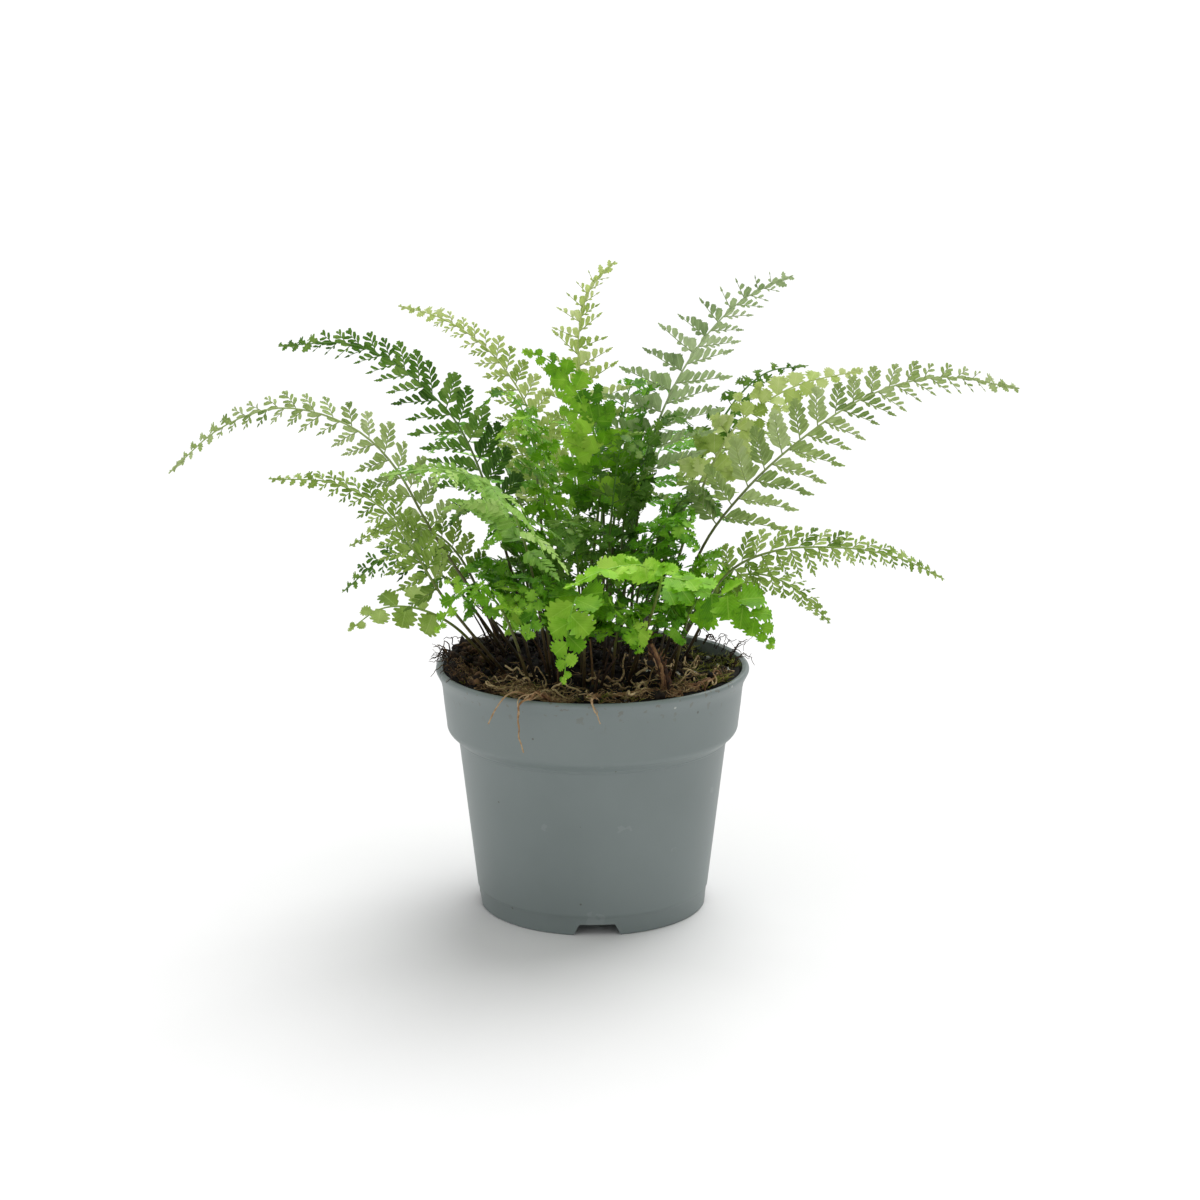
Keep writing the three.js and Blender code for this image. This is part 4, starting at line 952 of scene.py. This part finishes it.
def add_soil(parts, _):
    """The block of compost that fills the pot, with a rough top."""
    rings = [level_ring(inner - SOIL_GAP, height + SOIL_GAP, SOIL_STEPS) for inner, height in (
        (INNER_FLOOR_RADIUS - 1, FLOOR_TOP), (BODY_TOP[0] - WALL, BODY_TOP[1]),
        (COLLAR_BOTTOM[0] - WALL, COLLAR_BOTTOM[1] + 1))]
    edge = float(pot_inner_radius(POT_HEIGHT - SOIL_EDGE_DEPTH)) - SOIL_GAP
    for number in range(SOIL_RINGS, 0, -1):
        radius = edge * (number / SOIL_RINGS) ** 0.8
        ring = level_ring(radius, 0, SOIL_STEPS)
        ring[:, 2] = [rough_height(x, y, radius) for x, y, _ in ring]
        rings.append(ring)
    parts.add(*turned(FLOOR_TOP + SOIL_GAP, rings, surface_height(0, 0)), 0.3)


def lump_shape(subdivisions):
    mesh = bmesh.new()
    bmesh.ops.create_icosphere(mesh, subdivisions=subdivisions, radius=1)
    points = np.array([v.co for v in mesh.verts])
    faces = np.array([[v.index for v in f.verts] for f in mesh.faces])
    mesh.free()
    return points, faces


def scatter_lumps(parts, count, sizes, rng, tones, spots, sink, fine=1):
    """Adds rough lumps at drawn spots, each sunk by a share of its size."""
    shape, faces = lump_shape(fine)
    for _ in range(count):
        x, y = spots(rng)
        size = between(sizes, rng.random() ** 2.5)
        stretch = rng.uniform(0.6, 1.4, 3)
        turned_shape = shape @ np.linalg.qr(rng.normal(size=(3, 3)))[0]
        rough = 1 + 0.28 * rng.normal(size=(len(shape), 1))
        z = surface_height(x, y) + size * (0.5 - sink)
        points = turned_shape * rough * stretch * size / 2 + np.array([x, y, z])
        parts.add(points, faces, rng.uniform(*tones))


def anywhere(rng, limit=COMPOST_REACH):
    radius = limit * sqrt(rng.random())
    angle = rng.uniform(0, 2 * pi)
    return radius * cos(angle), radius * sin(angle)


def around(x, y, spread):
    """Draws spots near one place, kept inside the pot."""
    def draw(rng):
        spot = np.array([x, y]) + rng.normal(0, spread, 2)
        return tuple(spot * min(1, COMPOST_REACH / np.linalg.norm(spot)))
    return draw


def add_crumbs(parts, rng):
    scatter_lumps(parts, 1500, (0.7, 2.6), rng, (0.05, 0.7), anywhere, 0.25)
    scatter_lumps(parts, 170, (2.0, 5.0), rng, (0.05, 0.5), anywhere, 0.35, 2)
    scatter_lumps(parts, 260, (0.8, 3.2), rng, (0.4, 1.0), around(-42, -24, 8), 0.2)
    scatter_lumps(parts, 260, (0.8, 4.0), rng, (0.3, 0.9), around(-46, 6, 6), -0.1)


def add_perlite(parts, rng):
    scatter_lumps(parts, 46, (0.7, 2.0), rng, (0.4, 0.9), anywhere, 0.3, 2)
    scatter_lumps(parts, 26, (0.6, 1.7), rng, (0.4, 0.9), around(8, -46, 6), 0.3, 2)


def add_moss(parts, rng):
    """Small tufts of moss: short curved spikes that stand from one spot."""
    patches = [(44, -22, 7, 26), (34, 30, 12, 22), (-30, -34, 8, 16), (50, 4, 5, 16), (-6, 40, 14, 16),
               (10, -48, 9, 8)]
    shares = np.linspace(0, 1, 4)[:, None]
    for x, y, spread, tufts in patches:
        spot = around(x, y, spread)
        for _ in range(tufts):
            tuft = np.array([*spot(rng), 0])
            tone = rng.uniform(0.1, 0.9)
            for _ in range(rng.integers(8, 16)):
                lean = rng.normal(0, 0.55, 2)
                length = rng.uniform(1.4, 3.4)
                base = tuft + np.array([*rng.normal(0, 0.7, 2), 0])
                base[2] = surface_height(base[0], base[1]) - 0.4
                bow = np.array([*lean, 1.0]) * shares + np.array([*(lean * 0.8), -0.25]) * shares**2
                parts.add_tube(base + bow * length, [0.16, 0.2, 0.14, 0.02], 4, tone + rng.normal(0, 0.08))


# Roots
def wandering(points, wobble, steps, rng):
    """A path through points, sampled, with a small sideways wander that starts and ends at nothing."""
    shares = np.linspace(0, 1, steps)
    spots = Path(points).point(shares)
    fade = np.sin(np.pi * shares)[:, None]
    phase = rng.uniform(0, 6.28, 3)
    waves = np.stack([np.sin(shares * 19 + p) + 0.5 * np.sin(shares * 43 + 2 * p) for p in phase], 1)
    return spots + waves * fade * wobble


def crown_path():
    x, y, lean, height = CROWN["x"], CROWN["y"], CROWN["lean"], CROWN["height"]
    ground = float(soil_height(x, y))
    return [(x, y, ground - CROWN["depth"]), (x, y, ground), (x - lean / 3, y, ground + height / 2),
            (x - lean, y - 1, ground + height)]


def lying_root(plan, ends, radius):
    """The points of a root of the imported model, lifted clear of the finer compost where that stands higher."""
    spots = []
    for x, y in plan:
        ground = float(soil_height(x, y)) + radius + ROOT_LIFT
        spots.append((x, y, max(ground, surface_height(x, y) + 0.7 * radius)))
    return [*spots, *ends]


def add_rootstock(parts, rng):
    """A stump of twisted strands that part at its foot, and the roots that creep from it and over the lip."""
    path = Path(crown_path())
    shares = np.linspace(0, 1, 30)
    centre = path.point(shares)
    crown = CROWN["radius"]
    for strand in range(11):
        turn = strand * 2 * pi / 11 + shares * rng.uniform(0.8, 3.4)
        spread = crown * np.interp(shares, [0, 0.2, 0.45, 1], [1.2, 0.8, 0.55, 0.4]) * rng.uniform(0.7, 1.1)
        around_path = np.stack([np.cos(turn), np.sin(turn), np.zeros(30)], 1) * spread[:, None]
        radii = crown * rng.uniform(0.17, 0.34) * np.interp(shares, [0, 0.3, 1], [1.1, 1.0, 0.5])
        parts.add_tube(centre + around_path, radii * (1 + 0.16 * rng.normal(size=30)), 7, rng.uniform(0.0, 0.8))
    for _ in range(40):
        share = rng.uniform(0.25, 0.95)
        turn = rng.uniform(0, 2 * pi)
        start = path.point(share) + heading(turn) * crown * 0.5
        out = heading(turn, rng.uniform(-0.2, 0.9))
        scale = Path([start, start + out * 0.9, start + out * 1.4 + UP * rng.uniform(0.6, 1.8)])
        parts.add_tube(scale.point(np.linspace(0, 1, 5)), [0.36, 0.3, 0.22, 0.12, 0.03], 5, rng.uniform(0.1, 0.6))
    for radius, plan, ends in SURFACE_ROOTS:
        for strand, (thickness, wobble) in enumerate(((0.78, 0.5), (0.42, 1.1), (0.34, 1.5))):
            if strand and not ends:
                wobble *= 1.4
            spots = wandering(lying_root(plan, ends, radius), wobble, 60, rng)
            last = 60 if strand == 0 else rng.integers(34, 52)
            taper = np.linspace(1.0, 0.34 if ends else 0.5, 60) * (1 + 0.12 * rng.normal(size=60))
            tone = np.repeat(np.linspace(0.42, 0.9 if ends else 0.62, last), 8) + rng.normal(0, 0.06)
            parts.add_tube(spots[:last], radius * thickness * taper[:last], 8, [0.5, *tone, 0.9])


def creeping_root(parts, start, turn, length, radius, rng, lift, tone):
    """A thin root that wanders over the compost from a spot, with an arch here and there."""
    steps = max(6, int(length / 1.6))
    x, y = start
    hop, spots = rng.uniform(0, 6.28), []
    for step in range(steps):
        if hypot(x, y) > ROOT_REACH:
            turn += 0.9
            x, y = x * 0.985, y * 0.985
        rise = lift + max(0.0, sin(hop + step * 0.45)) * rng.uniform(0.6, 1.3) * lift * 2.5
        spots.append((x, y, surface_height(x, y) + radius + rise))
        turn += rng.normal(0, 0.34)
        x, y = x + cos(turn) * length / steps, y + sin(turn) * length / steps
    path = Path(spots).point(np.linspace(0, 1, steps * 2))
    parts.add_tube(path, np.linspace(radius, radius * 0.35, steps * 2), 5, tone + rng.normal(0, 0.1))


def add_fibres(parts, rng):
    """The finest roots: a net over the compost, a mat at the left edge and loose ends at the rim."""
    beds = [(-44, -18, 9, 90, 0.5), (-30, -42, 9, 90, 0.65), (28, -42, 8, 60, 0.6), (46, -20, 8, 50, 0.4),
            (0, -50, 14, 80, 0.62), (-48, 8, 6, 60, 0.4), (0, 0, 30, 60, 0.3), (-20, -48, 9, 60, 0.7)]
    for x, y, spread, count, tone in beds:
        spot = around(x, y, spread)
        for _ in range(count):
            creeping_root(parts, spot(rng), rng.uniform(0, 6.28), rng.uniform(5, 24), rng.uniform(0.09, 0.26),
                          rng, rng.uniform(0.1, 1.0), tone)
    for _ in range(34):
        turn = rng.uniform(-2.9, -0.15)
        out = rng.uniform(30, 52)
        creeping_root(parts, (out * cos(turn), out * sin(turn)), turn + rng.normal(1.5, 0.9),
                      rng.uniform(14, 34), rng.uniform(0.34, 0.6), rng, rng.uniform(0.3, 1.4), 0.85)
    for wire in range(40):
        outward = heading(rng.uniform(2.7, 3.7) if wire < 26 else rng.uniform(-0.1, 0.75))
        start = outward * 54 + UP * 94
        rise = rng.uniform(1, 7)
        path = [start, start + outward * 2.5 + UP * (2.2 + rise * 0.4),
                start + outward * rng.uniform(3.5, 6) + UP * rise,
                start + outward * rng.uniform(5, 9) + UP * (rise - rng.uniform(-3, 6))]
        parts.add_tube(wandering(path, 0.5, 22, rng), np.linspace(0.3, 0.1, 22) * rng.uniform(0.6, 1.3), 5,
                       rng.uniform(0.0, 0.4))


def add_stubs(parts, rng):
    """Dry feet of old stalks that stand among the live ones."""
    for _ in range(46):
        x, y = anywhere(rng, 40)
        ground = surface_height(x, y)
        lean = np.array([x, y, 0]) / 60 + np.array([*rng.normal(0, 0.25, 2), 0])
        height = rng.uniform(5, 22)
        path = Path([(x, y, ground - 3), (x, y, ground),
                     np.array([x, y, ground + height * 0.5]) + lean * height * 0.35,
                     np.array([x, y, ground + height]) + lean * height])
        parts.add_tube(path.point(np.linspace(0, 1, 9)), np.linspace(0.62, 0.3, 9) * rng.uniform(0.7, 1.1), 6,
                       rng.uniform(0.05, 0.9))


# The stage
CAMERA_PLACE = (0.00285, -1.02, 0.359)
CAMERA_PITCH = 13.22
CAMERA_LENS = 82.47
FLOOR_SIZE = 150
SKY_STRENGTH = 0.6
# Name, where it shines from, strength and width in degrees
STUDIO_LIGHTS = [("key", (0.4, 0.75, 1.5), 2.5, 46), ("front", (-0.5, -1.0, 1.2), 0.2, 60)]


def make_stage():
    scene = bpy.context.scene
    camera = placed("camera", bpy.data.cameras.new("camera"))
    camera.location = CAMERA_PLACE
    camera.rotation_euler = (radians(90 - CAMERA_PITCH), 0, 0)
    camera.data.lens = CAMERA_LENS
    camera.data.sensor_width = 36
    scene.camera = camera
    bpy.ops.mesh.primitive_plane_add(size=FLOOR_SIZE)
    floor = bpy.context.object
    floor.name = "floor"
    floor.data.materials.append(floor_material())
    world = bpy.data.worlds.new("studio")
    world.use_nodes = True
    background = world.node_tree.nodes["Background"]
    background.inputs["Color"].default_value = (1, 1, 1, 1)
    background.inputs["Strength"].default_value = SKY_STRENGTH
    scene.world = world
    for name, place, power, softness in STUDIO_LIGHTS:
        light = bpy.data.lights.new(name, "SUN")
        light.energy = power
        light.angle = radians(softness)
        lamp = placed(name, light)
        lamp.location = place
        lamp.rotation_euler = (-Vector(place)).to_track_quat("-Z", "Y").to_euler()
    scene.view_settings.view_transform = "Standard"


# The pieces of compost and roots: name, what adds its surfaces, seed, material, slot and the node it replaces
EARTH_PIECES = [
    ("soil_fine", add_soil, 10, "compost", "soil", "soil"),
    ("soil_crumbs", add_crumbs, 11, "crumb", "soil", None),
    ("perlite", add_perlite, 12, "perlite_grain", "soil", None),
    ("moss_tufts", add_moss, 13, "moss", "soil", None),
    ("rootstock_fine", add_rootstock, 21, "root_bark", "rootstock", "rootstock"),
    ("root_fibres", add_fibres, 22, "fibre", "rootstock", None),
    ("old_stalks", add_stubs, 23, "dry_stalk", "rootstock", None),
]

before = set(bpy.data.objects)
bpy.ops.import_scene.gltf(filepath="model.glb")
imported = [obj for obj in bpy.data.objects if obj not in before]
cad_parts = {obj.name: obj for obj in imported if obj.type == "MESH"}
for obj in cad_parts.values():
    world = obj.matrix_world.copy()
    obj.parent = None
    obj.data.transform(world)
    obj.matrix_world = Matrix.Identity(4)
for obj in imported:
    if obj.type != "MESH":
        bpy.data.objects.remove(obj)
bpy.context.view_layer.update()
templates = blade_templates()
leaf_materials = {}
for tone, (shadowed, plain, sunlit, _) in LEAF_TONES.items():
    leaf_materials[tone] = [leaf_material(tone, shadowed, plain, sunlit), stalk_material(tone, plain)]

pieces = []
for seed, plan in enumerate(plan_all()):
    piece = grow_frond(plan, templates, leaf_materials[plan["tone"]], seed)
    pieces.append(piece)
pot = make_pot()
pieces.append(pot)
for name, add_surfaces, seed, material, slot, node in EARTH_PIECES:
    parts = MeshParts()
    add_surfaces(parts, np.random.default_rng(seed))
    piece = parts.build(name, [earth_material(material)])
    if node:
        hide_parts(node)
    pieces.append(piece)
for piece in pieces:
    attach(piece, "root")
make_stage()
